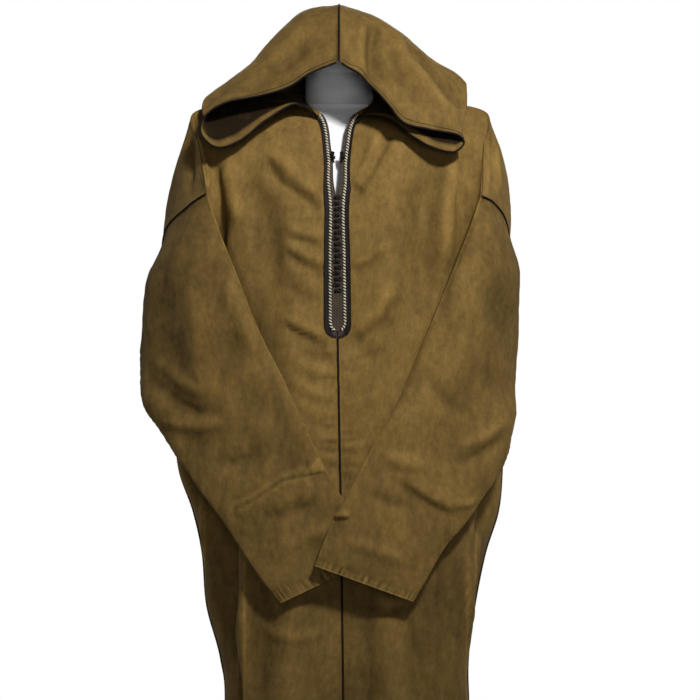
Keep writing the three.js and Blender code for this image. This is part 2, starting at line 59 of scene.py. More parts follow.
CLOTH = 1.8
CENTRE_GAP = 1.6
EDGE_INSET = 0.005
HEM_HEIGHT = 96
V_BOTTOM = 1343
PLACKET_BOTTOM = 1131
BRAID_WIDTH = 18
TORSO_BOTTOM = 850
SIDE_SEAM_Y = 8
OUTER_FULLNESS = 0.68
HOOD_FOLD_RADIUS = 8
SLEEVE_LENGTH = 640.0
CUFF_AROUND = 370.0
HOOD_DEPTH = 260
PRESSED_FOLD = {RIGHT: 142, LEFT: 186}

ARMHOLE = {
    RIGHT: [[197, -118, 1346], [226, -98, 1326], [262, -45, 1292], [266, -2, 1236],
            [240, 6, 1178], [213, -38, 1200], [197, -74, 1245], [191, -102, 1300]],
    LEFT: [[212, -116, 1342], [232, -98, 1331], [253, -45, 1302], [260, -2, 1238],
           [240, 6, 1178], [216, -38, 1200], [204, -74, 1245], [204, -101, 1298]],
}
RIDGE = {RIGHT: [219, -52, 1472], LEFT: [221, -54, 1473]}
FRONT_YOKE = [
    [[66, -8, 1494], [132, -14, 1491], None],
    [[21, -67, 1463], [92, -86, 1446], [160, -100, 1402]],
    [[9, -93, 1411], [84, -120, 1385], [152, -119, 1338]],
    [[1, -118, V_BOTTOM], [80, -136, 1312], [155, -121, 1275]],
    [[1, -129, 1250], [80, -139, 1232], [160, -110, 1215]],
]
BACK_YOKE = [
    [None, [132, -12, 1491], [66, -6, 1495], [46, 44, 1503], [0, 64, 1506]],
    [[243, -28, 1400], [170, 40, 1456], [105, 66, 1468], [52, 82, 1466], [0, 88, 1464]],
    [[257, 30, 1325], [190, 88, 1368], [120, 106, 1384], [58, 116, 1386], [0, 118, 1386]],
    [[248, 52, 1250], [185, 104, 1286], [120, 122, 1298], [58, 130, 1300], [0, 132, 1300]],
    [[226, 62, 1188], [175, 112, 1206], [115, 128, 1212], [55, 135, 1215], [0, 136, 1215]],
]
# height, side seams on the right and left, front and back depth, how far a sleeve presses
# the front fold back
SKIRT = [
    [1105, 234, 236, 134, 137, 22],
    [1000, 247, 248, 137, 138, 24],
    [930, 244, 248, 138, 139, 18],
    [865, 222, 242, 138, 139, 8],
    [800, 208, 222, 137, 140, 2],
    [720, 201, 206, 137, 140, 0],
    [640, 180, 196, 138, 140, 0],
    [560, 173, 197, 139, 142, 0],
    [330, 188, 206, 146, 150, 0],
    [HEM_HEIGHT, 208, 222, 154, 158, 0],
]
# the pressed fold, the seam, and the thickness between them
SLEEVES = {
    RIGHT: [
        [[-178, -132, 1286], [-283, -30, 1213], 54],
        [[-154, -148, 1227], [-294, -44, 1146], 48],
        [[-119, -162, 1140], [-300, -56, 1088], 42],
        [[-85, -167, 1072], [-294, -70, 1030], 37],
        [[-57, -170, 1012], [-268, -90, 990], 31],
        [[-35, -170, 963], [-222, -118, 926], 25],
        [[-5, -168, 909], [-176, -142, 865], 19],
        [[28, -164, 854], [-134, -152, 802], 15],
        [[53, -162, 805], [-86, -158, 738], 12],
    ],
    LEFT: [
        [[192, -130, 1282], [263, -30, 1217], 54],
        [[163, -150, 1211], [265, -46, 1118], 48],
        [[124, -166, 1118], [263, -66, 1040], 42],
        [[90, -178, 1039], [258, -90, 988], 36],
        [[57, -186, 982], [246, -112, 941], 30],
        [[28, -191, 926], [205, -142, 881], 23],
        [[-2, -193, 874], [160, -158, 825], 18],
        [[-19, -191, 835], [133, -166, 782], 15],
        [[-34, -188, 795], [109, -171, 742], 12],
    ],
}
HOOD_EDGE = {
    RIGHT: [[29, -76, 1460], [47, -84, 1475], [69, -96, 1480], [108, -116, 1456],
            [147, -128, 1424], [182, -130, 1414], [206, -120, 1437], [196, -121, 1464],
            [159, -125, 1484], [112, -129, 1492], [73, -133, 1504], [43, -137, 1523],
            [CENTRE_GAP, -140, 1540]],
    LEFT: [[24, -79, 1453], [42, -90, 1463], [73, -106, 1458], [100, -122, 1438],
           [132, -132, 1417], [168, -130, 1407], [186, -122, 1420], [176, -126, 1433],
           [138, -132, 1440], [97, -137, 1450], [73, -140, 1477], [40, -142, 1512],
           [CENTRE_GAP, -140, 1540]],
}
# neck seam, lower layer on the shoulder, outer fold, slope, shoulder of the tent, centre seam
HOOD_BACK = [
    [[33, 60, 1510], [66, 94, 1474], [122, 142, 1394], [104, 132, 1506], [60, 112, 1576],
     [CENTRE_GAP, 92, 1606]],
    [[CENTRE_GAP, 68, 1512], [CENTRE_GAP, 114, 1450], [CENTRE_GAP, 178, 1336],
     [CENTRE_GAP, 194, 1440], [CENTRE_GAP, 174, 1520], [CENTRE_GAP, 132, 1576]],
]
HOOD_SECTIONS = {
    RIGHT: [
        [[52, -46, 1488], [112, -76, 1486], [205, -78, 1472], [128, -76, 1530], [56, -72, 1596],
         [CENTRE_GAP, -70, 1624]],
        [[68, -6, 1501], [120, -8, 1505], [200, -14, 1496], [130, -14, 1549], [60, -12, 1625],
         [CENTRE_GAP, -10, 1637]],
        [[58, 36, 1506], [112, 46, 1498], [184, 66, 1476], [126, 60, 1540], [60, 48, 1608],
         [CENTRE_GAP, 44, 1634]],
        *HOOD_BACK,
    ],
    LEFT: [
        [[52, -46, 1488], [112, -76, 1482], [189, -82, 1464], [140, -80, 1526], [60, -74, 1592],
         [CENTRE_GAP, -70, 1624]],
        [[68, -6, 1501], [120, -8, 1505], [193, -14, 1518], [142, -14, 1556], [60, -12, 1618],
         [CENTRE_GAP, -10, 1637]],
        [[58, 36, 1506], [112, 46, 1498], [184, 66, 1488], [132, 60, 1550], [60, 48, 1605],
         [CENTRE_GAP, 44, 1634]],
        *HOOD_BACK,
    ],
}
# height, half width, front and back depth
TORSO = [
    [1486, 53, 40, 48], [1479, 68, 39, 48], [1470, 122, 46, 56], [1456, 162, 53, 66],
    [1430, 186, 70, 82], [1380, 184, 90, 98], [1310, 172, 104, 104], [1240, 160, 110, 100],
    [1130, 142, 100, 90], [1030, 160, 106, 102], [950, 170, 108, 108], [880, 166, 102, 104],
    [TORSO_BOTTOM, 150, 90, 92],
]

# ---- smooth curves and surfaces -----------------------------------------------------


def spans_and_weights(s, spans):
    """Which four control points a place on a smooth curve takes, and how much of each."""
    at = np.clip(s, 0, 1) * spans
    i = np.minimum(np.floor(at).astype(int), spans - 1)
    t = at - i
    w = np.stack(
        [
            -0.5 * t**3 + t**2 - 0.5 * t,
            1.5 * t**3 - 2.5 * t**2 + 1,
            -1.5 * t**3 + 2 * t**2 + 0.5 * t,
            0.5 * t**3 - 0.5 * t**2,
        ],
        -1,
    )
    return i[..., None] + np.arange(4), w


def with_ghosts(points, closed=False):
    """The points with the extra ones that the curve needs at its ends."""
    if closed:
        return np.concatenate([points[-1:], points, points[:2]])
    return np.concatenate([2 * points[:1] - points[1:2], points, 2 * points[-1:] - points[-2:-1]])


def on_curve(points, s, closed=False):
    points = np.asarray(points, float)
    spans = len(points) if closed else len(points) - 1
    index, w = spans_and_weights(np.asarray(s, float), spans)
    return np.einsum("...a,...ak->...k", w, with_ghosts(points, closed)[index])


def unit(v):
    return v / np.maximum(np.linalg.norm(v, axis=-1, keepdims=True), 1e-12)


def bell(distance, width):
    """1 at no distance, falling away over a width."""
    return np.exp(-((distance / width) ** 2))


def smooth(x, low, high):
    t = np.clip((x - low) / (high - low), 0, 1)
    return t * t * (3 - 2 * t)


class Panel:
    """A cloth panel: a smooth surface through rows of points, u along a row and v from row
    to row, and its relief, the height of its folds and seams along its normal."""

    def __init__(self, rows, facing, relief, closed=False, u_range=(0, 1), v_range=(0, 1), warp=None):
        rows = np.asarray(rows, float)
        self.closed = closed
        self.spans = (rows.shape[1] if closed else rows.shape[1] - 1, rows.shape[0] - 1)
        across = with_ghosts(rows.swapaxes(0, 1), closed).swapaxes(0, 1)
        self.net = with_ghosts(across)
        self.u_range, self.v_range = u_range, v_range
        self.relief, self.warp = relief, warp
        self.sign = 1
        middle = self.normal(np.array([facing[0]]), np.array([facing[1]]))[0]
        if middle @ np.array(facing[2], float) < 0:
            self.sign = -1

    def base(self, u, v):
        u = np.asarray(u, float)
        v = np.asarray(v, float)
        u = u % 1 if self.closed else self.u_range[0] + np.ptp(self.u_range) * np.clip(u, 0, 1)
        v = self.v_range[0] + np.ptp(self.v_range) * np.clip(v, 0, 1)
        iu, wu = spans_and_weights(u, self.spans[0])
        iv, wv = spans_and_weights(v, self.spans[1])
        points = np.einsum("...b,...a,...bak->...k", wv, wu, self.net[iv[..., :, None], iu[..., None, :]])
        return self.warp(points) if self.warp else points

    def _cross(self, surface, u, v, e):
        du = surface(u + e, v) - surface(u - e, v)
        dv = surface(u, v + e) - surface(u, v - e)
        return self.sign * unit(np.cross(du, dv))

    def normal(self, u, v):
        if self.closed:
            return self._cross(self.base, u, v, 1e-3)
        return self._cross(self.base, np.clip(u, 2e-3, 1 - 2e-3), np.clip(v, 2e-3, 1 - 2e-3), 1e-3)

    def at(self, u, v, lift=0.0):
        """The point of the finished surface, lifted off it by a height in mm."""
        u, v = np.broadcast_arrays(np.asarray(u, float), np.asarray(v, float))
        base = self.base(u, v)
        height = self.relief(base, u, v) + lift
        return base + self.normal(u, v) * height[..., None]

    def out(self, u, v):
        """The finished surface's own normal, folds included."""
        u, v = np.broadcast_arrays(np.asarray(u, float), np.asarray(v, float))
        if not self.closed:
            u = np.clip(u, 3e-3, 1 - 3e-3)
        return self._cross(self.at, u, np.clip(v, 3e-3, 1 - 3e-3), 2e-3)

    def grid(self, across, along):
        u, v = np.meshgrid(np.linspace(0, 1, across + 1), np.linspace(0, 1, along + 1))
        return (u[:, :-1], v[:, :-1]) if self.closed else (u, v)

# ---- folds, seams and hems ----------------------------------------------------------


def beside(points, line):
    """How far points are from a line of (x, z) places, signed by the side, and how far along."""
    line = np.asarray(line, float)
    run = np.linalg.norm(np.diff(line, axis=0), axis=1)
    start = np.concatenate([[0], np.cumsum(run)])
    best = np.full(points.shape[:-1], 1e9)
    along = np.zeros(points.shape[:-1])
    for k, (a, b) in enumerate(zip(line[:-1], line[1:])):
        d = (b - a) / run[k]
        rel = points - a
        t = rel @ d
        across = rel[..., 0] * d[1] - rel[..., 1] * d[0]
        inside = np.clip(t, 0, run[k])
        distance = np.hypot(across, t - inside) * np.where(across < 0, -1, 1)
        nearer = np.abs(distance) < np.abs(best)
        best = np.where(nearer, distance, best)
        along = np.where(nearer, start[k] + inside, along)
    return best, along / start[-1]


FOLD_DEPTH = 2.3


def folds(points, table):
    """The height of soft troughs and ridges. Each is [height, width on one side, width on the
    other, taper at the start, taper at the end, its places]."""
    height = np.zeros(points.shape[:-1])
    for depth, left, right, head, tail, line in table:
        across, along = beside(points, line)
        width = np.where(across < 0, left, right)
        fade = smooth(along, -1e-6, head) * smooth(1 - along, -1e-6, tail)
        ends = bell(np.abs(across), width)
        height += FOLD_DEPTH * depth * fade * ends
    return height


def waves(points, seed, length, height, stretch=(1, 1, 1), count=10):
    """A gentle uneven swell, the same each time."""
    random = np.random.RandomState(seed)
    total = np.zeros(points.shape[:-1])
    for _ in range(count):
        direction = unit(random.normal(size=3)) / np.array(stretch)
        scale = 2 * math.pi / (length * random.uniform(0.6, 1.7))
        total += np.sin(points @ direction * scale + random.uniform(0, 2 * math.pi))
    return height * total / math.sqrt(count / 2)


def puckers(place, seed, pitch, height):
    """The small uneven gathers that a line of stitches pulls along a seam."""
    random = np.random.RandomState(seed)
    total = np.zeros(np.shape(place))
    for k in range(5):
        total += np.sin(2 * math.pi * place / (pitch * random.uniform(0.7, 1.6)) + 6.3 * random.rand())
    return height * total / 2


def stitched(distance, depth=0.5, width=1.6):
    """The groove that a row of topstitching sinks, by distance from it."""
    return -depth * bell(distance, width)


def inside_outline(points, outline, fade):
    """1 inside an outline of (x, z) places, falling to 0 over a width round it."""
    outline = np.asarray(outline, float)
    x, z = points[..., 0], points[..., 1]
    crossings = np.zeros(x.shape, int)
    for (x0, z0), (x1, z1) in zip(outline, np.roll(outline, -1, axis=0)):
        spans = (z0 > z) != (z1 > z)
        slope = np.where(abs(z1 - z0) > 1e-9, (x1 - x0) / (z1 - z0 + 1e-12), 0)
        crossings += spans & (x < x0 + slope * (z - z0))
    closed = np.concatenate([outline, outline[:1]])
    distance = np.abs(beside(points, closed)[0])
    return np.where(crossings % 2 == 1, 1.0, 1 - smooth(distance, 0, fade))


def front_view(points):
    return points[..., [0, 2]]


SLEEVE_OUTLINE = {
    side: [[fold[0], fold[2]] for fold, _, _ in table] + [[seam[0], seam[2]] for _, seam, _ in table[::-1]]
    for side, table in SLEEVES.items()
}
HOOD_OUTLINE = {
    side: [[SIDES[side] * x, z] for x, _, z in HOOD_EDGE[side][:7]] + [[SIDES[side] * 150, 1520], [0, 1520]]
    for side in SIDES
}

# The front seam leans a little: how far the middle of the front lies to the left, by height.
FRONT_LEAN = [[HEM_HEIGHT, 6.0], [587, 6.5], [900, 2.5], [1131, -1.8], [1343, -3.2], [1500, -1.5]]


SLIT_BOW = 2.8  # how far each edge of the slit bows out above its lower end


def lean(points):
    heights, moves = np.array(FRONT_LEAN).T
    share = bell(points[..., 0], 95) * smooth(-points[..., 1], 30, 80)
    moved = points.copy()
    moved[..., 0] += np.interp(points[..., 2], heights, moves) * share
    open_slit = SLIT_BOW * np.exp(-(((points[..., 2] - 1366) / 21) ** 2) - (points[..., 0] / 22) ** 2)
    moved[..., 0] += np.sign(points[..., 0]) * open_slit
    return moved


# Folds by [height, width, width, taper, taper, places]; ridges above 0 and troughs below.
CHEST_FOLDS = [
    [3.2, 15, 8, 0.3, 0.15, [[-116, 1420], [-82, 1386], [-50, 1356], [-26, 1340]]],
    [-3.4, 7, 12, 0.25, 0.1, [[-117, 1404], [-86, 1362], [-48, 1337], [-24, 1320]]],
    [-1.0, 4, 5, 0.4, 0.1, [[-77, 1306], [-50, 1303], [-24, 1304]]],
    [1.5, 8, 5, 0.5, 0.1, [[-92, 1298], [-56, 1286], [-24, 1280]]],
    [-2.2, 5, 8, 0.5, 0.05, [[-84, 1280], [-52, 1273], [-24, 1266]]],
    [1.7, 9, 6, 0.5, 0.1, [[-86, 1274], [-58, 1256], [-24, 1240]]],
    [-2.6, 5, 10, 0.35, 0.05, [[-84, 1260], [-57, 1242], [-24, 1221]]],
    [-1.3, 4, 6, 0.5, 0.05, [[-50, 1250], [-38, 1242], [-24, 1232]]],
    [-1.9, 8, 12, 0.4, 0.1, [[-92, 1212], [-57, 1192], [-24, 1184]]],
    [2.2, 9, 6, 0.4, 0.1, [[-94, 1166], [-58, 1147], [-20, 1132]]],
    [-2.7, 6, 11, 0.35, 0.05, [[-92, 1156], [-57, 1134], [-17, 1113]]],
    [-1.5, 5, 8, 0.4, 0.05, [[-66, 1110], [-36, 1102], [-6, 1096]]],
    [3.4, 15, 9, 0.2, 0.15, [[62, 1440], [50, 1404], [36, 1372], [21, 1352]]],
    [-4.2, 8, 11, 0.1, 0.1, [[78, 1440], [58, 1400], [43, 1371], [21, 1340]]],
    [2.2, 9, 7, 0.4, 0.1, [[78, 1280], [52, 1252], [20, 1236]]],
    [-2.4, 6, 9, 0.4, 0.1, [[66, 1264], [43, 1235], [21, 1221]]],
    [3.2, 13, 9, 0.3, 0.15, [[84, 1220], [58, 1168], [20, 1132]]],
    [-3.2, 8, 12, 0.3, 0.1, [[96, 1196], [67, 1151], [14, 1112]]],
    [-1.5, 6, 8, 0.3, 0.3, [[78, 1114], [52, 1102], [8, 1092]]],
    [-7.5, 26, 30, 0.3, 0.4, [[-136, 1400], [-116, 1320], [-104, 1240], [-84, 1150]]],
    [5.0, 13, 13, 0.3, 0.4, [[-170, 1410], [-158, 1350], [-146, 1280]]],
    [-7.5, 24, 28, 0.3, 0.4, [[150, 1424], [132, 1340], [124, 1240], [112, 1130]]],
    [4.5, 13, 13, 0.3, 0.4, [[176, 1424], [166, 1350], [158, 1270], [146, 1190]]],
]
SHOULDER_FOLDS = [
    [3.2, 7, 4, 0.2, 0.2, [[-214, 1470], [-205, 1410], [-196, 1346]]],
    [2.4, 4, 4, 0.2, 0.3, [[219, 1446], [221, 1392], [223, 1336]]],
    [-2.4, 4, 4, 0.2, 0.3, [[227, 1440], [229, 1388], [231, 1338]]],
    [2.0, 4, 5, 0.3, 0.3, [[234, 1428], [237, 1380], [240, 1336]]],
    [-2.6, 6, 6, 0.2, 0.4, [[-224, 1440], [-222, 1392], [-228, 1340]]],
]
SKIRT_FOLDS = [
    [2.0, 24, 20, 0.2, 0.02, [[-66, 1000], [-70, 860], [-78, 640], [-92, 330], [-98, 90]]],
    [-1.8, 22, 26, 0.25, 0.02, [[-36, 960], [-38, 800], [-44, 600], [-52, 330], [-54, 90]]],
    [-2.0, 20, 18, 0.2, 0.02, [[-106, 900], [-112, 780], [-116, 600], [-132, 330], [-140, 90]]],
    [4.5, 7, 5, 0.15, 0.02, [[-141, 812], [-142, 700], [-144, 560], [-156, 330], [-166, 90]]],
    [2.2, 26, 22, 0.2, 0.02, [[62, 980], [66, 860], [78, 640], [90, 330], [98, 90]]],
    [-2.0, 22, 24, 0.25, 0.02, [[30, 960], [34, 800], [42, 600], [50, 330], [54, 90]]],
    [-2.2, 20, 18, 0.2, 0.02, [[112, 880], [118, 760], [126, 600], [138, 330], [148, 90]]],
    [5.0, 7, 5, 0.12, 0.02, [[184, 850], [190, 787], [192, 700], [192, 560], [200, 330], [212, 90]]],
    [3.0, 5, 5, 0.3, 0.3, [[211, 846], [204, 790], [198, 728]]],
    [3.0, 6, 5, 0.3, 0.3, [[-206, 900], [-205, 840], [-203, 776]]],
    [-2.5, 9, 8, 0.4, 0.4, [[10, 742], [70, 724], [140, 742]]],
    [2.0, 8, 9, 0.4, 0.4, [[-130, 700], [-70, 684], [-8, 694]]],
]
BACK_FOLDS = [
    [6, 22, 16, 0.2, 0.4, [[-150, 1420], [-120, 1330], [-70, 1240], [-40, 1120]]],
    [-5, 16, 18, 0.2, 0.4, [[-180, 1400], [-148, 1310], [-104, 1210], [-84, 1080]]],
    [6, 16, 22, 0.2, 0.4, [[150, 1420], [122, 1330], [76, 1240], [46, 1120]]],
    [-5, 18, 16, 0.2, 0.4, [[180, 1400], [150, 1310], [106, 1210], [88, 1080]]],
    [-4, 14, 14, 0.3, 0.3, [[-60, 1250], [0, 1225], [62, 1252]]],
    [4, 12, 12, 0.3, 0.3, [[-72, 1280], [0, 1254], [70, 1282]]],
    [7, 20, 20, 0.3, 0.02, [[-12, 1110], [-16, 900], [-22, 600], [-30, 330], [-34, 90]]],
    [-7, 18, 20, 0.3, 0.02, [[34, 1120], [36, 900], [40, 600], [44, 330], [48, 90]]],
    [7, 20, 18, 0.25, 0.02, [[84, 1080], [90, 860], [98, 600], [108, 330], [114, 90]]],
    [-7, 18, 18, 0.25, 0.02, [[128, 1040], [136, 860], [142, 600], [154, 330], [164, 90]]],
    [6, 14, 12, 0.2, 0.02, [[176, 980], [176, 800], [172, 600], [182, 330], [196, 90]]],
    [-7, 20, 18, 0.25, 0.02, [[-62, 1090], [-68, 860], [-76, 600], [-86, 330], [-92, 90]]],
    [7, 18, 20, 0.25, 0.02, [[-108, 1040], [-114, 860], [-120, 600], [-134, 330], [-144, 90]]],
    [-6, 14, 14, 0.2, 0.02, [[-156, 980], [-158, 800], [-150, 600], [-164, 330], [-176, 90]]],
]
SLEEVE_FOLDS = {
    RIGHT: [
        [2.6, 3, 20, 0.1, 0.08, [[-160, 879], [-124, 899], [-86, 926], [-44, 938]]],
        [-1.8, 14, 3, 0.1, 0.06, [[-158, 873], [-122, 893], [-84, 919], [-38, 931]]],
        [2.6, 26, 18, 0.3, 0.4, [[-204, 1290], [-214, 1190], [-206, 1080], [-160, 980]]],
        [-2.0, 20, 22, 0.3, 0.4, [[-246, 1240], [-262, 1140], [-258, 1060], [-214, 984]]],
        [1.8, 10, 9, 0.3, 0.3, [[-286, 1108], [-240, 1066], [-190, 1040]]],
        [-1.6, 9, 10, 0.3, 0.3, [[-292, 1076], [-244, 1034], [-186, 1008]]],
        [2.6, 12, 10, 0.3, 0.3, [[-270, 1006], [-214, 998], [-160, 1004]]],
        [-2.0, 12, 10, 0.4, 0.4, [[-200, 944], [-150, 944], [-96, 968]]],
        [2.2, 10, 14, 0.3, 0.3, [[-176, 1236], [-150, 1170], [-118, 1090]]],
        [-2.0, 10, 12, 0.3, 0.3, [[-120, 858], [-66, 876], [-20, 886]]],
        [1.8, 10, 10, 0.3, 0.3, [[-104, 806], [-50, 838], [10, 852]]],
    ],
    LEFT: [
        [2.8, 5, 3, 0.1, 0.3, [[-6, 868], [5, 870], [18, 869]]],
        [2.6, 20, 26, 0.3, 0.4, [[206, 1286], [200, 1180], [176, 1080], [128, 980]]],
        [-2.2, 20, 20, 0.3, 0.4, [[238, 1240], [240, 1140], [226, 1050], [184, 970]]],
        [2.0, 12, 6, 0.4, 0.3, [[78, 936], [131, 897], [184, 870]]],
        [-1.5, 6, 12, 0.4, 0.3, [[74, 926], [131, 887], [182, 860]]],
        [2.2, 6, 6, 0.3, 0.3, [[160, 886], [186, 884], [206, 892]]],
        [2.6, 10, 8, 0.3, 0.3, [[256, 1012], [214, 982], [170, 966]]],
        [-2.4, 8, 10, 0.3, 0.3, [[250, 984], [210, 956], [168, 942]]],
        [-2.2, 10, 10, 0.3, 0.3, [[120, 1086], [150, 1040], [196, 1012]]],
        [2.4, 12, 10, 0.3, 0.4, [[60, 960], [96, 944], [140, 940]]],
        [-2.0, 10, 10, 0.3, 0.4, [[34, 908], [72, 886], [118, 878]]],
        [1.8, 10, 10, 0.3, 0.3, [[4, 836], [56, 818], [118, 792]]],
    ],
}
HOOD_FOLDS = {
    RIGHT: [
        [3.4, 18, 14, 0.3, 0.3, [[-30, 1606], [-76, 1576], [-128, 1530], [-178, 1490]]],
        [-3.2, 12, 16, 0.3, 0.3, [[-26, 1578], [-72, 1548], [-126, 1508], [-170, 1478]]],
        [2.2, 8, 8, 0.3, 0.3, [[-70, 1612], [-98, 1588], [-138, 1548]]],
        [-1.8, 8, 8, 0.3, 0.3, [[-64, 1596], [-96, 1568], [-134, 1532]]],
    ],
    LEFT: [
        [-5.5, 9, 13, 0.15, 0.35, [[56, 1610], [50, 1572], [52, 1536], [68, 1496]]],
        [4.0, 10, 10, 0.2, 0.3, [[34, 1608], [30, 1566], [32, 1532], [44, 1508]]],
        [5.0, 13, 10, 0.15, 0.2, [[74, 1584], [104, 1546], [136, 1506], [176, 1446]]],
        [-3.6, 9, 14, 0.2, 0.2, [[92, 1590], [124, 1552], [152, 1514], [182, 1470]]],
        [-3.0, 10, 9, 0.3, 0.3, [[66, 1560], [96, 1516], [130, 1472]]],
    ],
}

HEM_DEPTH = 24
CUFF_HEM = 17


def front_relief(side):
    table = CHEST_FOLDS + SHOULDER_FOLDS + SKIRT_FOLDS
    mirror = SIDES[side]

    def relief(points, u, v):
        flat = front_view(points)
        from_centre = np.abs(points[..., 0] - np.interp(points[..., 2], *np.array(FRONT_LEAN).T))
        z = points[..., 2]
        facing = smooth(-points[..., 1], -10, 60)
        height = folds(flat, table) * facing
        height += waves(points, 3, 170, 1.5, (1, 1, 1.6))
        height += waves(points, 5, 60, 0.45, (1, 1, 1.4)) + waves(points, 8, 24, 0.12)
        sewn = (1 - smooth(z, PLACKET_BOTTOM - 14, PLACKET_BOTTOM)) * smooth(z, 120, 200)
        bowed = z - 0.012 * from_centre ** 1.6
        chest = smooth(z, 880, 960)
        loose = smooth(from_centre, 1.5, 12)
        uneven = 0.55 + 0.5 * waves(points, 33, 70, 1.0)
        tucks = puckers(bowed, 11 + mirror, 14, 1.0) * bell(from_centre, 20)
        height += (0.4 + 0.8 * chest) * tucks * sewn * loose
        pull = puckers(bowed + 6 * np.sin(from_centre / 17), 31 + mirror, 26, 1.0)
        height += 2.6 * pull * uneven * bell(from_centre, 58) * sewn * chest * loose
        hidden = np.maximum(*(inside_outline(flat, SLEEVE_OUTLINE[s], 16) for s in SIDES))
        hood = np.maximum(*(inside_outline(flat, HOOD_OUTLINE[s], 12) for s in SIDES))
        hood = np.maximum(hood * smooth(z, 1400, 1420), smooth(z, 1462, 1480))
        height *= 1 - np.maximum(hidden * 0.85, hood * 0.9)
        height -= 1.0 * hidden
        placket = np.exp(-((from_centre / 26) ** 4)) * smooth(z, PLACKET_BOTTOM - 30, PLACKET_BOTTOM)
        height *= 1 - 0.75 * placket
        below = 1 - smooth(z, PLACKET_BOTTOM - 8, PLACKET_BOTTOM - 2)
        height -= 1.6 * bell(from_centre, 3.2) * below
        height *= smooth(1 - u, 0, 0.03) * smooth(v, 0, 0.006)
        height += stitched(z - HEM_HEIGHT - HEM_DEPTH, 0.7, 2.0)
        height += 0.35 * puckers(points[..., 0], 21, 9, 1.0) * bell(z - HEM_HEIGHT - HEM_DEPTH, 9)
        return height

    return relief


def back_relief(points, u, v):
    flat = front_view(points)
    z = points[..., 2]
    facing = smooth(points[..., 1], -10, 60)
    height = folds(flat, BACK_FOLDS) * facing
    height += waves(points, 4, 170, 1.7, (1, 1, 1.6))
    height += waves(points, 6, 60, 0.5, (1, 1, 1.4)) + waves(points, 9, 24, 0.12)
    height += 1.2 * folds(flat, SHOULDER_FOLDS) * (1 - facing)
    covered = smooth(z, 1330, 1350) * np.exp(-((points[..., 0] / 150) ** 6))
    height *= 1 - 0.9 * np.maximum(covered, smooth(z, 1475, 1490))
    height *= smooth(np.minimum(u, 1 - u), 0, 0.02) * smooth(v, 0, 0.006)
    height += stitched(z - HEM_HEIGHT - HEM_DEPTH, 0.7, 2.0)
    height += 0.35 * puckers(points[..., 0], 22, 9, 1.0) * bell(z - HEM_HEIGHT - HEM_DEPTH, 9)
    return height


# The loose corner of the crosswise crease in the right sleeve, as seen from the front.
FLAP = [[-29, 953], [-50, 931], [-21, 934]]
# Lines along the sleeves' crosswise creases, as seen from the front, that get a painted shade line.
CREASE_SHADE_LINE = {
    RIGHT: [[-162, 872], [-122, 893], [-84, 920], [-22, 934]],
    LEFT: [[74, 926], [131, 887], [182, 860]],
}


def sleeve_relief(side):
    def relief(points, u, v):
        flat = front_view(points)
        outer = smooth(np.sin(2 * math.pi * u), -0.02, 0.22)
        start = smooth(v, 0.0, 0.10)
        from_cuff = (1 - v) * SLEEVE_LENGTH
        height = folds(flat, SLEEVE_FOLDS[side]) * outer * start
        height += (waves(points, 13, 120, 1.4) + waves(points, 14, 45, 0.45)) * outer * start
        height += waves(points, 15, 20, 0.14) * outer
        fold_line = np.minimum(u, 1 - u)
        seam_line = np.abs(u - 0.5)
        height += 0.4 * puckers(v * SLEEVE_LENGTH, 17, 15, 1.0) * bell(seam_line, 0.03) * start
        height -= 0.9 * bell(seam_line, 0.012) * start
        height += 0.5 * bell(fold_line, 0.015) * start
        height += stitched(from_cuff - CUFF_HEM, 0.9, 2.0)
        pulled = puckers(u * CUFF_AROUND, 19, 7.5, 1.0)
        height += 0.7 * pulled * bell(from_cuff - CUFF_HEM * 0.6, 9)
        if side == RIGHT:
            height += 2.2 * inside_outline(flat, FLAP, 2.0) * outer

        return height * smooth(v, 0, 0.02)

    return relief


HOOD_HEM = 5


def hood_relief(side):
    def relief(points, u, v):
        flat = front_view(points)
        upper = smooth(u, 0.44, 0.55)
        front = smooth(-points[..., 1], -20, 60)
        height = folds(flat, HOOD_FOLDS[side]) * upper * front
        height += (waves(points, 23, 110, 1.2) + waves(points, 24, 40, 0.4)) * smooth(v, 0.02, 0.12) * upper
        height += waves(points, 25, 18, 0.12)
        height *= 0.2 + 0.8 * smooth(1 - u, 0, 0.05)
        behind = folds(flat, [[3.4, 16, 16, 0.3, 0.3, [[SIDES[side] * 22, 1590], [SIDES[side] * 46, 1450]]]])
        height += behind * upper * smooth(points[..., 1], 40, 90)
        from_edge = v * HOOD_DEPTH
        height += stitched(from_edge - HOOD_HEM, 0.5, 1.5)
        height -= 0.8 * bell(1 - u, 0.008) * smooth(v, 0.0, 0.02)
        return height

    return relief


# ---- the panels ---------------------------------------------------------------------


def mirrored(side, points):
    return np.asarray(points, float) * [SIDES[side], 1, 1]


def armhole(side, s):
    return on_curve(mirrored(side, ARMHOLE[side]), s, closed=True)


def front_rows(side):
    rows = []
    for k, row in enumerate(FRONT_YOKE):
        inner = mirrored(side, [RIDGE[side] if p is None else p for p in row])
        edge = armhole(side, 1 - k / 8)
        turn = inner[2]
        rows.append([*inner, turn + 0.4 * (edge - turn), turn + 0.75 * (edge - turn), edge])
    for k, (z, right, left, front, _, pushed) in enumerate(SKIRT):
        seam = right if side == RIGHT else left
        crisp = min(1, (k + 1) / 3)
        fold = min(PRESSED_FOLD[side] + (seam - 204) * 0.3, seam - 22)
        row = [
            [1, -front, z],
            [fold * 0.52, -front - 4, z],
            [fold, -front + 26 + pushed, z],
            [fold + 5 + 12 * (1 - crisp), -front + 64 + pushed, z],
            [seam - 9, -front + 98 + pushed / 2, z],
            [seam, SIDE_SEAM_Y, z],
        ]
        rows.append(mirrored(side, row))
    return np.array(rows)


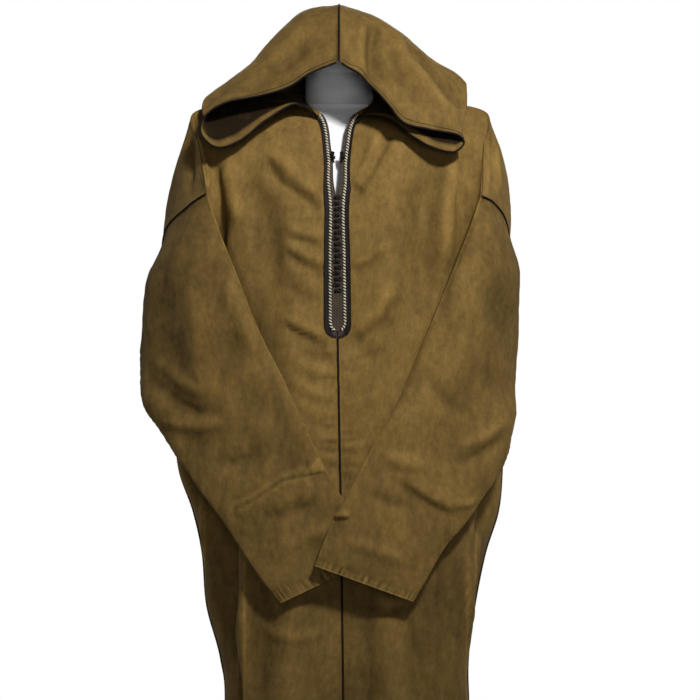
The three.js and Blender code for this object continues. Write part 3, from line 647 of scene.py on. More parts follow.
def back_rows():
    halves = {}
    for side in SIDES:
        rows = []
        for k, row in enumerate(BACK_YOKE):
            points = mirrored(side, [RIDGE[side] if p is None else p for p in row])
            edge = armhole(side, k / 8)
            if k == 0:
                between = [points[0] + t * (edge - points[0]) for t in (0.75, 0.4)]
            else:
                between = on_curve([edge, *points], np.array([0.25, 0.6]) / len(points))
            rows.append([edge, *between, *points])
        for z, right, left, _, back, _ in SKIRT:
            seam = right if side == RIGHT else left
            row = [
                [seam, SIDE_SEAM_Y, z],
                [seam - 1.5, 23, z],
                [seam - 4, 45, z],
                [seam - 10, 66, z],
                [seam * 0.8, back - 26, z],
                [seam * 0.52, back - 8, z],
                [seam * 0.26, back - 1, z],
                [0, back, z],
            ]
            rows.append(mirrored(side, row))
        halves[side] = np.array(rows)
    return np.concatenate([halves[RIGHT], halves[LEFT][:, -2::-1]], axis=1)


def bare(points, u, v):
    return np.zeros(points.shape[:-1])


WHOLE_FRONT = {side: Panel(front_rows(side), (0.3, 0.6, (0, -1, 0)), bare) for side in SIDES}
WHOLE_BACK = Panel(back_rows(), (0.5, 0.6, (0, 1, 0)), bare)
ARMHOLE_SHARE = 8 / (len(BACK_YOKE) + len(SKIRT) - 1)


def armhole_edge(side, s):
    """The armhole as the two panels leave it: round the back's edge, then up the front's."""
    s = np.asarray(s, float) % 1
    back = WHOLE_BACK.base(np.full_like(s, 0.0 if side == RIGHT else 1.0), s * ARMHOLE_SHARE)
    front = WHOLE_FRONT[side].base(np.ones_like(s), (1 - s) * ARMHOLE_SHARE)
    return np.where((s > 0.5)[..., None], front, back)


SLEEVE_AROUND = 64
SLEEVE_START = 0.004


def sleeve_rows(side):
    u = np.arange(SLEEVE_AROUND) / SLEEVE_AROUND
    a = 2 * math.pi * u[:, None]
    rows = [armhole_edge(side, u)]
    fold, seam = (np.array([row[k] for row in SLEEVES[side]], float) for k in (0, 1))
    middle = (fold + seam) / 2
    for k, (_, _, thick) in enumerate(SLEEVES[side]):
        reach = (seam[k] - fold[k]) / 2
        run = middle[min(k + 1, len(middle) - 1)] - middle[max(k - 1, 0)]
        out = unit(np.cross(reach, run))
        if out[1] > 0:
            out = -out
        share = np.where(np.sin(a) > 0, OUTER_FULLNESS, 1 - OUTER_FULLNESS)
        rows.append(middle[k] - reach * np.cos(a) + out * np.sin(a) * thick * share)
    return np.array(rows)


def hood_section(*places):
    """A section of the hood, from the neck seam out to its fold and back up to the centre."""
    neck, under, fold, slope, corner, top = np.array(places, float)
    inwards = slope - fold
    inwards[2] = 0
    inwards = unit(inwards) * HOOD_FOLD_RADIUS
    lift = np.array([0, 0, HOOD_FOLD_RADIUS])
    lower = on_curve([neck, under, fold + inwards - lift], np.arange(5) / 4)
    upper = on_curve([fold + inwards + lift, slope, corner, top], np.arange(7) / 6)
    return [*lower, fold, *upper]


def hood_rows(side):
    rows = [HOOD_EDGE[side], *(hood_section(*section) for section in HOOD_SECTIONS[side])]
    return np.array([mirrored(side, row) for row in rows])


FRONTS = {
    side: Panel(
        front_rows(side),
        (0.3, 0.6, (0, -1, 0)),
        front_relief(side),
        u_range=(0, 1 - EDGE_INSET),
        v_range=(0.001, 1),
        warp=lean,
    )
    for side in SIDES
}
BACK = Panel(
    back_rows(),
    (0.5, 0.6, (0, 1, 0)),
    back_relief,
    u_range=(EDGE_INSET / 2, 1 - EDGE_INSET / 2),
    v_range=(0.001, 1),
)
SLEEVE = {
    side: Panel(
        sleeve_rows(side),
        (0.25, 0.6, (0, -1, 0)),
        sleeve_relief(side),
        closed=True,
        v_range=(SLEEVE_START, 1),
    )
    for side in SIDES
}
HOOD = {side: Panel(hood_rows(side), (0.8, 0.4, (0, 0, 1)), hood_relief(side)) for side in SIDES}

# ---- making meshes ------------------------------------------------------------------


def place(points):
    """Points in mm become points of the row's frame in metres."""
    return (np.asarray(points, float).reshape(-1, 3) + SHIFT) * MM


def new_object(name, points, faces, materials, replaced=None, indices=None, tones=None):
    mesh = bpy.data.meshes.new(name)
    mesh.from_pydata(place(points).tolist(), [], faces)
    for material in materials:
        mesh.materials.append(material)
    if indices is not None:
        mesh.polygons.foreach_set("material_index", indices)
    mesh.shade_smooth()
    if tones is not None:
        layer = mesh.attributes.new("tone", "FLOAT", "POINT")
        layer.data.foreach_set("value", np.asarray(tones, np.float32).ravel())
    mesh.update()
    piece = bpy.data.objects.new(name, mesh)
    bpy.context.scene.collection.objects.link(piece)
    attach(piece, "root")
    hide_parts(replaced or name)
    return piece


def joined_round(number):
    """A grid of point numbers with its first column again after its last."""
    return np.concatenate([number, number[:, :1]], axis=1)


def quads(number):
    """The four-sided faces between neighbours in a grid of point numbers."""
    corners = number[:-1, :-1], number[:-1, 1:], number[1:, 1:], number[1:, :-1]
    return np.stack(corners, -1).reshape(-1, 4)


def wall_of(middle, thickness, closed):
    """Both faces and the rims of a wall whose middle surface is a grid of points."""
    rows, columns = middle.shape[:2]
    if closed:
        du = np.roll(middle, -1, 1) - np.roll(middle, 1, 1)
    else:
        du = np.gradient(middle, axis=1)
    normal = unit(np.cross(du, np.gradient(middle, axis=0)))
    points = np.concatenate([(middle + normal * thickness / 2).reshape(-1, 3),
                             (middle - normal * thickness / 2).reshape(-1, 3)])
    number = np.arange(rows * columns).reshape(rows, columns)
    if closed:
        number = joined_round(number)
    layer = rows * columns
    rims = []
    edges = [number[0, ::-1], number[-1]]
    if not closed:
        edges += [number[:, 0], number[::-1, -1]]
    for edge in edges:
        rims.append(np.stack([edge[1:], edge[:-1], edge[:-1] + layer, edge[1:] + layer], -1))
    faces = np.concatenate([quads(number), quads(number)[:, ::-1] + layer, *rims])
    tri = np.concatenate([faces[:, [0, 1, 2]], faces[:, [0, 2, 3]]])
    p = points[tri]
    if np.einsum("ij,ij->", p[:, 0], np.cross(p[:, 1], p[:, 2])) < 0:
        faces = faces[:, ::-1]
    return points, faces.tolist()


def inner_first(panel, u, v, points):
    """Whether a wall's first layer is its inner one."""
    middle = u.size // 2
    across = points[middle] - points[middle + u.size]
    return across @ panel.normal(u.ravel()[[middle]], v.ravel()[[middle]])[0] < 0


# how many cells a panel has across and along
GRIDS = {"front": (116, 292), "sleeve": (150, 172), "hood": (120, 92), "back": (134, 204)}
FOLD_PAINTED_LIGHT = 0.038  # painted highlight on fold ridges and painted shade in troughs: how much lighter a ridge is than a trough, a mm of height


def panel_piece(node, panel, tone, painted_inner_shade=False):
    """A wall of cloth whose tone gives painted highlight on fold ridges and painted shade in troughs; when
    asked, painted shade also darkens its inner face away from its edge.
    """
    u, v = panel.grid(*GRIDS[node.split("_")[0]])
    middle = panel.at(u, v)
    points, faces = wall_of(middle, CLOTH, panel.closed)
    # fold heights, for painted highlight on the ridges and painted shade in the troughs
    ridges = np.clip(panel.relief(panel.base(u, v), u, v), -5, 5)
    shown = (tone(middle, u, v) - FOLD_PAINTED_LIGHT * ridges).ravel()
    inside = shown
    if painted_inner_shade:
        rows = v.ravel()
        # painted shade inside the hood: the inner face darkens from about 6 mm in from its edge, and
        # lightens again towards the back
        inside = shown + 0.95 * smooth(rows, 0.022, 0.045) * (1 - smooth(rows, 0.7, 0.8))
    tones = np.concatenate([inside, shown] if inner_first(panel, u, v, points) else [shown, inside])
    return new_object(f"thobe_{node}", points, faces, [CLOTH_LOOK], node, tones=tones)


def tube(route, out, radii, sides):
    """A soft round tube along a route; radii are across the surface it lies on and off it."""
    route, out = np.asarray(route, float), unit(np.asarray(out, float))
    run = unit(np.gradient(route, axis=0))
    across = unit(np.cross(run, out))
    lift = unit(np.cross(across, run))
    radii = np.broadcast_to(np.asarray(radii, float), (len(route), 2))
    a = np.arange(sides) * 2 * math.pi / sides
    ring = (
        route[:, None]
        + across[:, None] * (np.cos(a)[None, :, None] * radii[:, None, :1])
        + lift[:, None] * (np.sin(a)[None, :, None] * radii[:, None, 1:])
    )
    points = ring.reshape(-1, 3)
    number = joined_round(np.arange(len(points)).reshape(len(route), sides))
    ends = [number[0, :-1][::-1].tolist(), number[-1, :-1].tolist()]
    return points, quads(number).tolist() + ends


class Heap:
    """Many small closed meshes joined into one piece."""

    def __init__(self):
        self.points, self.faces, self.indices, self.count = [], [], [], 0

    def add(self, points, faces, index=0):
        points = np.asarray(points, float).reshape(-1, 3)
        tri = [[f[0], f[k], f[k + 1]] for f in faces[:600] for k in range(1, len(f) - 1)]
        p = (points - points.mean(0))[np.array(tri)]
        if np.einsum("ij,ij->", p[:, 0], np.cross(p[:, 1], p[:, 2])) < 0:
            faces = [list(f)[::-1] for f in faces]
        self.points.append(points)
        self.faces += [[i + self.count for i in f] for f in faces]
        self.indices += [index] * len(faces)
        self.count += len(points)

    def piece(self, name, materials, slot_name, replaced=None):
        points = np.concatenate(self.points)
        return new_object(name, points, self.faces, materials, replaced, self.indices)


def ball(centre, size, axes=None, around=10, rings=7, ruck=0.0):
    """A small knotted lump: a rounded body whose surface is rucked by the cord it is tied in."""
    axes = np.eye(3) if axes is None else axes
    points = [[0, 0, -1]]
    for j in range(1, rings):
        b = -math.pi / 2 + math.pi * j / rings
        for i in range(around):
            a = 2 * math.pi * i / around
            r = 1 + ruck * math.sin(3 * a + 5 * b)
            points.append([math.cos(a) * math.cos(b) * r, math.sin(a) * math.cos(b) * r, math.sin(b)])
    points.append([0, 0, 1])
    faces = [[0, 1 + (i + 1) % around, 1 + i] for i in range(around)]
    for j in range(rings - 2):
        for i in range(around):
            a, b = 1 + j * around + i, 1 + j * around + (i + 1) % around
            faces.append([a, b, b + around, a + around])
    last, top = 1 + (rings - 2) * around, len(points) - 1
    faces += [[last + i, last + (i + 1) % around, top] for i in range(around)]
    return np.asarray(centre) + (np.array(points) * size) @ np.asarray(axes), faces


def twisted(route, out, radius, strand, pitch, turns_offset=0.0, strands=2, sides=6, steps=10):
    """The strands of a twisted cord laid along a route."""
    route, out = np.asarray(route, float), np.asarray(out, float)
    length = np.concatenate([[0], np.cumsum(np.linalg.norm(np.diff(route, axis=0), axis=1))])
    count = int(length[-1] / pitch * steps) + 2
    s = np.linspace(0, length[-1], count)
    line = np.stack([np.interp(s, length, route[:, k]) for k in range(3)], -1)
    up = unit(np.stack([np.interp(s, length, out[:, k]) for k in range(3)], -1))
    side = unit(np.cross(unit(np.gradient(line, axis=0)), up))
    made = []
    for k in range(strands):
        a = 2 * math.pi * (s / pitch + k / strands + turns_offset)
        spread = side * np.cos(a)[:, None] + up * np.sin(a)[:, None]
        made.append(tube(line + spread * radius, spread, [strand, strand], sides))
    return made


# ---- materials ----------------------------------------------------------------------


def srgb(red, green, blue):
    """A colour given as it looks on a screen, from 0 to 255, in linear light."""
    made = [c / 255 for c in (red, green, blue)]
    return (*(c / 12.92 if c <= 0.04045 else ((c + 0.055) / 1.055) ** 2.4 for c in made), 1.0)


WHITE = (1.0, 1.0, 1.0, 1.0)


class Nodes:
    """A material's node tree, built a node at a time."""

    def __init__(self, name):
        self.material = bpy.data.materials.new(name)
        self.material.use_nodes = True
        self.tree = self.material.node_tree
        self.shader = self.tree.nodes["Principled BSDF"]
        place_node = self.tree.nodes.new("ShaderNodeTexCoord")
        self.where = place_node.outputs["Object"]

    def link(self, source, target):
        self.tree.links.new(source, target)

    def node(self, kind, **values):
        made = self.tree.nodes.new("ShaderNode" + kind)
        for key, value in values.items():
            if hasattr(made, key):
                setattr(made, key, value)
            else:
                made.inputs[key.replace("_", " ")].default_value = value
        return made

    def stretched(self, scale, turn=(0, 0, 0)):
        made = self.node("Mapping", Scale=scale, Rotation=turn)
        self.link(self.where, made.inputs["Vector"])
        return made.outputs["Vector"]

    def noise(self, scale, detail=4.0, roughness=0.6, stretch=(1, 1, 1), distortion=0.0):
        made = self.node("TexNoise", Scale=scale, Detail=detail, Roughness=roughness, Distortion=distortion)
        self.link(self.stretched(stretch), made.inputs["Vector"])
        return made.outputs["Fac"]

    def ramp(self, value, low, high, start=0.0, end=1.0):
        made = self.node("MapRange")
        for key, number in (("From Min", low), ("From Max", high), ("To Min", start), ("To Max", end)):
            made.inputs[key].default_value = number
        self.link(value, made.inputs["Value"])
        return made.outputs["Result"]

    def maths(self, operation, a, b):
        made = self.node("Math", operation=operation)
        for socket, value in zip(made.inputs, (a, b)):
            if isinstance(value, (int, float)):
                socket.default_value = value
            else:
                self.link(value, socket)
        return made.outputs[0]

    def mix(self, factor, a, b, blend="MIX"):
        made = self.node("Mix", data_type="RGBA", blend_type=blend)
        sockets = [s for s in made.inputs if s.type == "RGBA"]
        for socket, value in zip(sockets, (a, b)):
            if isinstance(value, tuple):
                socket.default_value = value
            else:
                self.link(value, socket)
        if isinstance(factor, (int, float)):
            made.inputs[0].default_value = factor
        else:
            self.link(factor, made.inputs[0])
        return [s for s in made.outputs if s.type == "RGBA"][0]

    def bump(self, heights):
        """Bumps one on another; each is (height, depth in metres, strength)."""
        normal = None
        for height, depth, strength in heights:
            made = self.node("Bump", Distance=depth, Strength=strength)
            self.link(height, made.inputs["Height"])
            if normal:
                self.link(normal, made.inputs["Normal"])
            normal = made.outputs["Normal"]
        self.link(normal, self.shader.inputs["Normal"])

    def weave(self, pitch, turns):
        """Two sets of crossing threads, a pitch apart in metres."""
        heights = []
        for turn in turns:
            made = self.node(
                "TexWave", wave_type="BANDS", bands_direction="X", Scale=0.314 / pitch,
                Distortion=0.6, Detail=1.0,
            )
            made.inputs["Detail Scale"].default_value = 2.0
            self.link(self.stretched((1, 1, 1), turn), made.inputs["Vector"])
            heights.append(made.outputs["Fac"])
        return self.maths("ADD", heights[0], heights[1])


def fabric(name, dark, light, *, mottle, nap, weave, bumps, roughness, sheen, sheen_tint, grain=(1, 1, 0.55),
           specular=0.4, tone=0.0):
    """A cloth or thread: mottled colour, nap, weave, and a rougher or smoother surface with them."""
    n = Nodes(name)
    broad = n.noise(mottle, 5.0, 0.62, grain)
    patches = n.noise(mottle * 0.32, 4.0, 0.62, (1, 1, 0.7))
    fine = n.noise(nap, 3.0, 0.7, grain)
    blend = n.maths("ADD", n.maths("MULTIPLY", broad, 0.55), n.maths("MULTIPLY", patches, 0.45))
    colour = n.mix(n.ramp(blend, 0.34, 0.66), dark, light)
    speck = n.mix(n.ramp(fine, 0.3, 0.7, 0.0, 0.45), WHITE, (0.5, 0.48, 0.45, 1.0))
    colour = n.mix(1.0, colour, speck, "MULTIPLY")
    if tone:
        level = n.node("Attribute", attribute_name="tone").outputs["Fac"]
        # The tone attribute darkens the colour towards near black where above 0 and lightens it up to nearly
        # double where below 0; it carries dark seams and stitching, random mottle, painted shade in folds,
        # creases and inside the hood, and painted highlight on ridges and pressed edges.
        for sign, end in ((tone, (0.07, 0.065, 0.06, 1.0)), (-tone, (1.9, 1.85, 1.75, 1.0))):
            shade = n.mix(n.maths("MULTIPLY", level, sign), WHITE, end)
            colour = n.mix(1.0, colour, shade, "MULTIPLY")
    n.link(colour, n.shader.inputs["Base Color"])
    n.link(n.ramp(fine, 0.25, 0.75, roughness - 0.07, roughness + 0.07), n.shader.inputs["Roughness"])
    threads = n.weave(weave, ((0, 0, 0.0), (0, math.pi / 2, 0)))
    n.bump([(broad, bumps[0], 0.5), (fine, bumps[1], 0.6), (threads, bumps[2], 0.5)])
    n.shader.inputs["Specular IOR Level"].default_value = specular
    n.shader.inputs["Sheen Weight"].default_value = sheen
    n.shader.inputs["Sheen Roughness"].default_value = 0.45
    n.shader.inputs["Sheen Tint"].default_value = sheen_tint
    return n.material


def brushed_metal(name, colour, roughness):
    n = Nodes(name)
    streaks = n.noise(900.0, 3.0, 0.6, (1, 1, 0.05))
    smears = n.noise(22.0, 3.0, 0.5)
    n.link(n.mix(n.ramp(smears, 0.3, 0.7, 0.0, 1.0), colour, tuple(c * 0.82 for c in colour[:3]) + (1.0,)),
           n.shader.inputs["Base Color"])
    n.link(n.ramp(smears, 0.3, 0.7, roughness - 0.06, roughness + 0.08), n.shader.inputs["Roughness"])
    n.bump([(streaks, 0.00005, 0.35)])
    n.shader.inputs["Metallic"].default_value = 1.0
    return n.material


DARK_THREAD = {"mottle": 160.0, "nap": 1500.0, "weave": 0.0007}
JERSEY = {
    "mottle": 40.0, "nap": 1400.0, "weave": 0.0011,
    "bumps": (0.0001, 0.00012, 0.00018), "sheen_tint": srgb(250, 250, 255),
}
CLOTH_LOOK = fabric(
    "brushed_cotton", srgb(101, 79, 38), srgb(122, 97, 52), mottle=190.0, nap=820.0, weave=0.0009,
    bumps=(0.0013, 0.0005, 0.0001), roughness=0.8, sheen=0.07,
    sheen_tint=srgb(206, 170, 104), specular=0.10, tone=1.0,
)
BRAID_LOOK = fabric(
    "dark_braid", srgb(17, 13, 13), srgb(32, 24, 24), **DARK_THREAD,
    bumps=(0.0002, 0.00025, 0.00015), roughness=0.6, specular=0.12,
    sheen=0.02, sheen_tint=srgb(120, 104, 112),
)
CORD_LOOK = fabric(
    "dark_cord", srgb(13, 10, 10), srgb(26, 20, 19), **DARK_THREAD,
    bumps=(0.0002, 0.0002, 0.00012), roughness=0.62, specular=0.12,
    sheen=0.01, sheen_tint=srgb(120, 104, 112),
)
INNER_BRAID_LOOK = fabric(
    "brown_braid", srgb(42, 32, 24), srgb(60, 47, 35), **DARK_THREAD,
    bumps=(0.0002, 0.00025, 0.00015), roughness=0.6, specular=0.25,
    sheen=0.07, sheen_tint=srgb(150, 130, 110),
)
CREAM_LOOK = fabric(
    "cream_strand", srgb(196, 186, 158), srgb(226, 218, 194), mottle=200.0, nap=1800.0, weave=0.0006,
    bumps=(0.0001, 0.0002, 0.00012), roughness=0.55, sheen=0.15, sheen_tint=srgb(250, 244, 230),
)
COVER_LOOK = fabric(
    "form_jersey", srgb(226, 226, 229), srgb(240, 240, 242), **JERSEY, roughness=0.72, sheen=0.12,
)
NECK_LOOK = fabric(
    "form_neck_grey", srgb(228, 228, 231), srgb(240, 240, 242), **JERSEY, roughness=0.6, sheen=0.08,
)
STEEL_LOOK = brushed_metal("stand_steel", srgb(196, 199, 204), 0.3)

# ---- the garment's panels -----------------------------------------------------------


def nap_streaks(points, seed):
    """Where the brushed nap lies lighter or darker, in short slanting streaks."""
    long = 0.055 * waves(points, seed, 30, 1.0, (0.7, 1, 1.8), 14)
    return long + 0.04 * waves(points, seed + 1, 11, 1.0, (0.8, 1, 1.5), 14)


def cloth_mottle(points, seed, streak_seed):
    """What all the panels share: a broad uneven shade, and the nap's streaks."""
    return 0.03 * waves(points, seed, 34, 0.7) + nap_streaks(points, streak_seed)


def front_tone(points, u, v):
    z = points[..., 2]
    from_centre = np.abs(points[..., 0] - np.interp(z, *np.array(FRONT_LEAN).T))
    seam = 0.11 * bell(from_centre, 5)
    side_seam = 0.10 * bell(1 - u, 0.012)
    hem = 0.07 * bell(z - HEM_HEIGHT - HEM_DEPTH, 2.5)
    # painted highlight: lighter lines along the skirt's pressed creases
    painted_crease_highlight = np.zeros_like(z)
    for x_line, top in ((-141, 812), (-204, 890), (192, 790), (206, 846)):
        lean_line = x_line * (1 + 0.16 * (600 - z).clip(0, 600) / 600)
        painted_crease_highlight += 0.5 * bell(points[..., 0] - lean_line, 1.8) * (1 - smooth(z, top - 20, top))
    # painted shade: darker beyond the pressed creases on the lower skirt, where the cloth turns to the sides
    beyond = 0.16 * smooth(np.abs(points[..., 0]), 138, 150) * (1 - smooth(z, 800, 860))
    # painted shade: darker below about 800 mm, under the sleeves
    low = 0.24 * (1 - smooth(z, 760, 900))
    return seam + side_seam + hem + beyond + low - painted_crease_highlight + cloth_mottle(points, 51, 63)


def back_tone(points, u, v):
    seam = 0.10 * bell(np.minimum(u, 1 - u), 0.008)
    hem = 0.10 * bell(points[..., 2] - HEM_HEIGHT - HEM_DEPTH, 2.5)
    return seam + hem + cloth_mottle(points, 52, 65)


def sleeve_tone(side):
    def tone(points, u, v):
        from_cuff = (1 - v) * SLEEVE_LENGTH
        seam = 0.14 * bell(np.abs(u - 0.5), 0.012)
        cuff = 0.10 * bell(from_cuff - CUFF_HEM, 2.2)
        # painted light and shade on the cuff's small gathers, lighter and darker in turn
        painted_cuff_pucker_light = 0.30 * puckers(u * CUFF_AROUND, 19, 7.5, 1.0) * bell(from_cuff - 9, 9)
        # painted highlight along the sleeve's pressed front fold and its cuff edge
        painted_edge_highlight = 0.62 * bell(np.minimum(u, 1 - u), 0.006) + 0.2 * bell(from_cuff, 3)
        if side == RIGHT:
            # painted highlight on the loose corner of the crease
            painted_edge_highlight = painted_edge_highlight + 0.5 * inside_outline(front_view(points), FLAP, 1.0) * (np.sin(2 * math.pi * u) > 0)
        # painted shade: a dark line along the crosswise crease, stronger on the right sleeve
        across, along = beside(front_view(points), CREASE_SHADE_LINE[side])
        line = bell(across, 2.6) * smooth(along, -1e-6, 0.12) * smooth(1 - along, -1e-6, 0.06)
        seam = seam + (0.34 if side == RIGHT else 0.1) * line * (np.sin(2 * math.pi * u) > 0)
        # painted light and shade on the gathers along the seam, towards the cuff
        gathers = puckers(v * SLEEVE_LENGTH, 18, 8, 1.0) * bell(np.abs(u - 0.5), 0.02)
        seam = seam + 0.2 * gathers * smooth(v, 0.5, 0.6)
        # painted shade: the right sleeve darker than the left, and both darker towards the armhole
        shade = (0.19 if side == RIGHT else 0.13) + 0.16 * (1 - smooth(v, 0.12, 0.5))
        return shade + seam + cuff - painted_edge_highlight - painted_cuff_pucker_light + cloth_mottle(points, 53, 61)

    return tone


def hood_tone(points, u, v):
    edge = 0.08 * bell(v * HOOD_DEPTH, 4)
    stitch = 0.08 * bell(v * HOOD_DEPTH - HOOD_HEM, 2)
    seam = 0.11 * bell(1 - u, 0.012)
    # painted shade: 0.11 makes the whole hood a little darker than the body
    return 0.11 + edge + stitch + seam + cloth_mottle(points, 54, 67)


for side in SIDES:
    for node, panel, tone in (
        ("front", FRONTS[side], front_tone),
        ("sleeve", SLEEVE[side], sleeve_tone(side)),
        ("hood", HOOD[side], hood_tone),
    ):
        name = f"{node}_{side}"
        panel_piece(name, panel, tone, painted_inner_shade=node == "hood")
panel_piece("back", BACK, back_tone)

# ---- trimming -----------------------------------------------------------------------


def edge_at(side, z):
    """Where a front's centre edge is at each height."""
    v = np.linspace(0, 1, 1600)
    heights = FRONTS[side].base(np.zeros_like(v), v)[:, 2]
    return np.interp(z, heights[::-1], v[::-1])


def width_share(side, v, width):
    """How far along its row a place a width in from the centre edge is."""
    e = 2e-3
    panel = FRONTS[side]
    step = np.linalg.norm(panel.base(np.full_like(v, e), v) - panel.base(np.zeros_like(v), v), axis=-1)
    return width * e / step


def on_front(side, z, width, lift):
    v = edge_at(side, z)
    u = width_share(side, v, width)
    panel = FRONTS[side]
    out = panel.out(np.maximum(u, 0.004), v)
    return panel.at(u, v) + out * lift, out


BRAID_THICKNESS = 1.2
BRAID_TOP = 1466
BRAID_LIFT = CLOTH / 2 + 0.8
TWIST_OFFSET = 10.4
PLAIT = 4.2


def narrowing(z):
    """How much of its width the braid shows where it turns up with the cloth to the neck."""
    return 1 - 0.38 * smooth(np.asarray(z, float), 1335, 1425)


def braid(side):
    """The dark braid beside the neck slit: two plaits with a channel for the twisted cord."""
    down, across = 380, 24
    t = np.linspace(0, 1, down + 1) ** 0.9
    z = BRAID_TOP + (PLACKET_BOTTOM - BRAID_TOP) * t
    above = np.clip((z - PLACKET_BOTTOM) / BRAID_WIDTH, 0, 1)
    narrow = narrowing(z)[:, None]
    reach = BRAID_WIDTH * narrow[:, 0] * np.sqrt(1 - (1 - above) ** 2) + 1.5
    share = np.linspace(0, 1, across + 1)
    width = 0.6 + (reach[:, None] - 0.6) * share[None, :]
    places, outs = on_front(side, np.repeat(z, across + 1), width.ravel(), 0.0)
    run = (BRAID_TOP - z)[:, None]
    from_twist = np.abs(width - TWIST_OFFSET * narrow)
    channel = -0.7 * bell(from_twist, 1.6)
    chevron = np.abs(((width / narrow - 5.0) / PLAIT) % 2 - 1)
    plait = 0.32 * np.sin(2 * math.pi * (run / 3.0 + chevron * 0.9))
    borders = 0.35 * (bell(width - 1.2, 0.8) + bell(reach[:, None] - width, 0.9))
    height = BRAID_LIFT + BRAID_THICKNESS / 2 + channel + plait * smooth(from_twist, 1.2, 2.6) + borders
    middle = (places + outs * height.ravel()[:, None]).reshape(down + 1, across + 1, 3)
    points, faces = wall_of(middle, BRAID_THICKNESS, False)
    column = np.array([min(face) % (across + 1) for face in faces])
    inner = (column < across * 0.45).astype(int)
    return new_object(
        f"placket_braid_{side}", points, faces, [BRAID_LOOK, INNER_BRAID_LOOK], indices=inner
    )


def twist(side):
    """The cream and black cord laid in the braid's channel, and the two meeting below."""
    straight = np.linspace(BRAID_TOP - 1, PLACKET_BOTTOM + 22, 60)
    z = np.concatenate([straight, PLACKET_BOTTOM + np.array([17, 13, 10.5])])
    inward = TWIST_OFFSET - np.concatenate([np.zeros(60), [1, 3, 6]])
    route, out = on_front(side, z, inward * narrowing(z), BRAID_LIFT + BRAID_THICKNESS + 0.5)
    heap = Heap()
    for k, (points, faces) in enumerate(twisted(route, out, 1.15, 1.2, 4.6, 0.25)):
        heap.add(points, faces, k)
    return heap.piece(f"placket_twist_{side}", [CREAM_LOOK, CORD_LOOK], "twist_cord")


KNOTS = 17
KNOT_TOP, KNOT_END = 1338, 1200


def knot_row():
    """Small cord knots and the loops that they pass through, on a ribbon between the braids."""
    heap = Heap()
    lift = BRAID_LIFT + BRAID_THICKNESS + 0.5
    z = np.linspace(KNOT_TOP + 3, KNOT_END - 60, 90)
    left, out_left = on_front(LEFT, z, 0.4, lift)
    right, out_right = on_front(RIGHT, z, 0.4, lift)
    middle, out = (left + right) / 2, unit(out_left + out_right)
    side = np.array([1.0, 0, 0])
    ribbon = middle[:, None] + side * np.array([-3.2, -1.6, 0, 1.6, 3.2])[None, :, None]
    ribbon = ribbon + out[:, None] * np.array([-0.4, 0.15, 0.3, 0.15, -0.4])[None, :, None]
    heap.add(*wall_of(ribbon, 0.9, False), 1)
    heights = np.linspace(KNOT_TOP, KNOT_END, KNOTS)
    for k, height in enumerate(heights):
        centre = np.array([np.interp(height, z[::-1], middle[::-1, j]) for j in range(3)])
        up = unit(np.array([np.interp(height, z[::-1], out[::-1, j]) for j in range(3)]))
        turn = 1 if k % 2 else -1
        axes = np.stack([side, np.cross(up, side), up])
        knot = centre + up * 1.7 + side * turn * 0.7
        heap.add(*ball(knot, (4.0, 3.0, 2.2), axes, 10, 7, 0.16))
        a = np.linspace(0, 2 * math.pi, 15)
        spokes = np.cos(a)[:, None] * axes[0] + np.sin(a)[:, None] * axes[1]
        ring = knot[None, :] + 3.0 * spokes * [1.1, 1, 0.8]
        heap.add(*tube(ring + up * 0.5 * np.sin(2 * a)[:, None], np.tile(up, (15, 1)), [0.8, 0.7], 5))
        b = np.linspace(0, math.pi, 9)
        loop = (
            centre[None, :]
            + side * (-turn * (1.6 + 4.6 * np.sin(b)))[:, None]
            + axes[1] * (3.0 * np.cos(b))[:, None]
            + up * (0.6 + 0.7 * np.sin(b))[:, None]
        )
        heap.add(*tube(loop, np.tile(up, (9, 1)), [0.85, 0.75], 5))
    return heap.piece("knot_row", [CORD_LOOK, INNER_BRAID_LOOK], "braid")


def neck_knot(side):
    """A cord knot of two lobes on its shank, hung from the braid's edge."""
    root_place, out = (a[0] for a in on_front(side, np.array([1401.0]), np.array([1.0]), BRAID_LIFT + 0.6))
    inwards = np.array([-SIDES[side], 0, 0])
    heap = Heap()
    centre = root_place + inwards * 1.2 + np.array([0, -2.8, 0])
    lobes = ((4.6, (2.7, 2.5, 3.3)), (-1.6, (3.3, 3.0, 3.6)), (-7.4, (2.3, 2.1, 2.9)))
    for k, (rise, size) in enumerate(lobes):
        middle = centre + np.array([0.5 * (k % 2), 0, rise])
        heap.add(*ball(middle, size, None, 14, 10, 0.14))
        a = np.linspace(0, 2 * math.pi, 17)
        for tilt in (0.5, -0.5):
            ring = np.stack([np.cos(a) * size[0], np.sin(a) * size[1], np.sin(a + 1.6) * size[2] * tilt], -1)
            heap.add(*tube(middle + ring * 1.02, ring, [0.6, 0.6], 6))
    shank = np.array([root_place, root_place + inwards * 1.5 + [0, -1.4, 1.5], centre + [0, 0, 2.0]])
    heap.add(*tube(on_curve(shank, np.linspace(0, 1, 9)), np.tile([0, -1.0, 0.2], (9, 1)), [1.1, 1.1], 8))
    return heap.piece(f"neck_knot_{side}", [CORD_LOOK], "braid")


CORD_PITCH = 4.2


def laid_cord(name, route, out, width, height):
    """A dark two-strand cord on a seam."""
    heap = Heap()
    radius, strand = min(width, height) * 0.26, width * 0.30
    for points, faces in twisted(route, out, radius, strand, CORD_PITCH, sides=5, steps=5):
        heap.add(points, faces)
    return heap.piece(name, [CORD_LOOK], "braid")


def front_seam_cord():
    z = np.linspace(PLACKET_BOTTOM - 2, HEM_HEIGHT + 2, 260)
    left, out_left = on_front(LEFT, z, 0.3, CLOTH / 2 + 0.6)
    right, out_right = on_front(RIGHT, z, 0.3, CLOTH / 2 + 0.6)
    return laid_cord("front_seam_cord", (left + right) / 2, out_left + out_right, 4.0, 2.6)


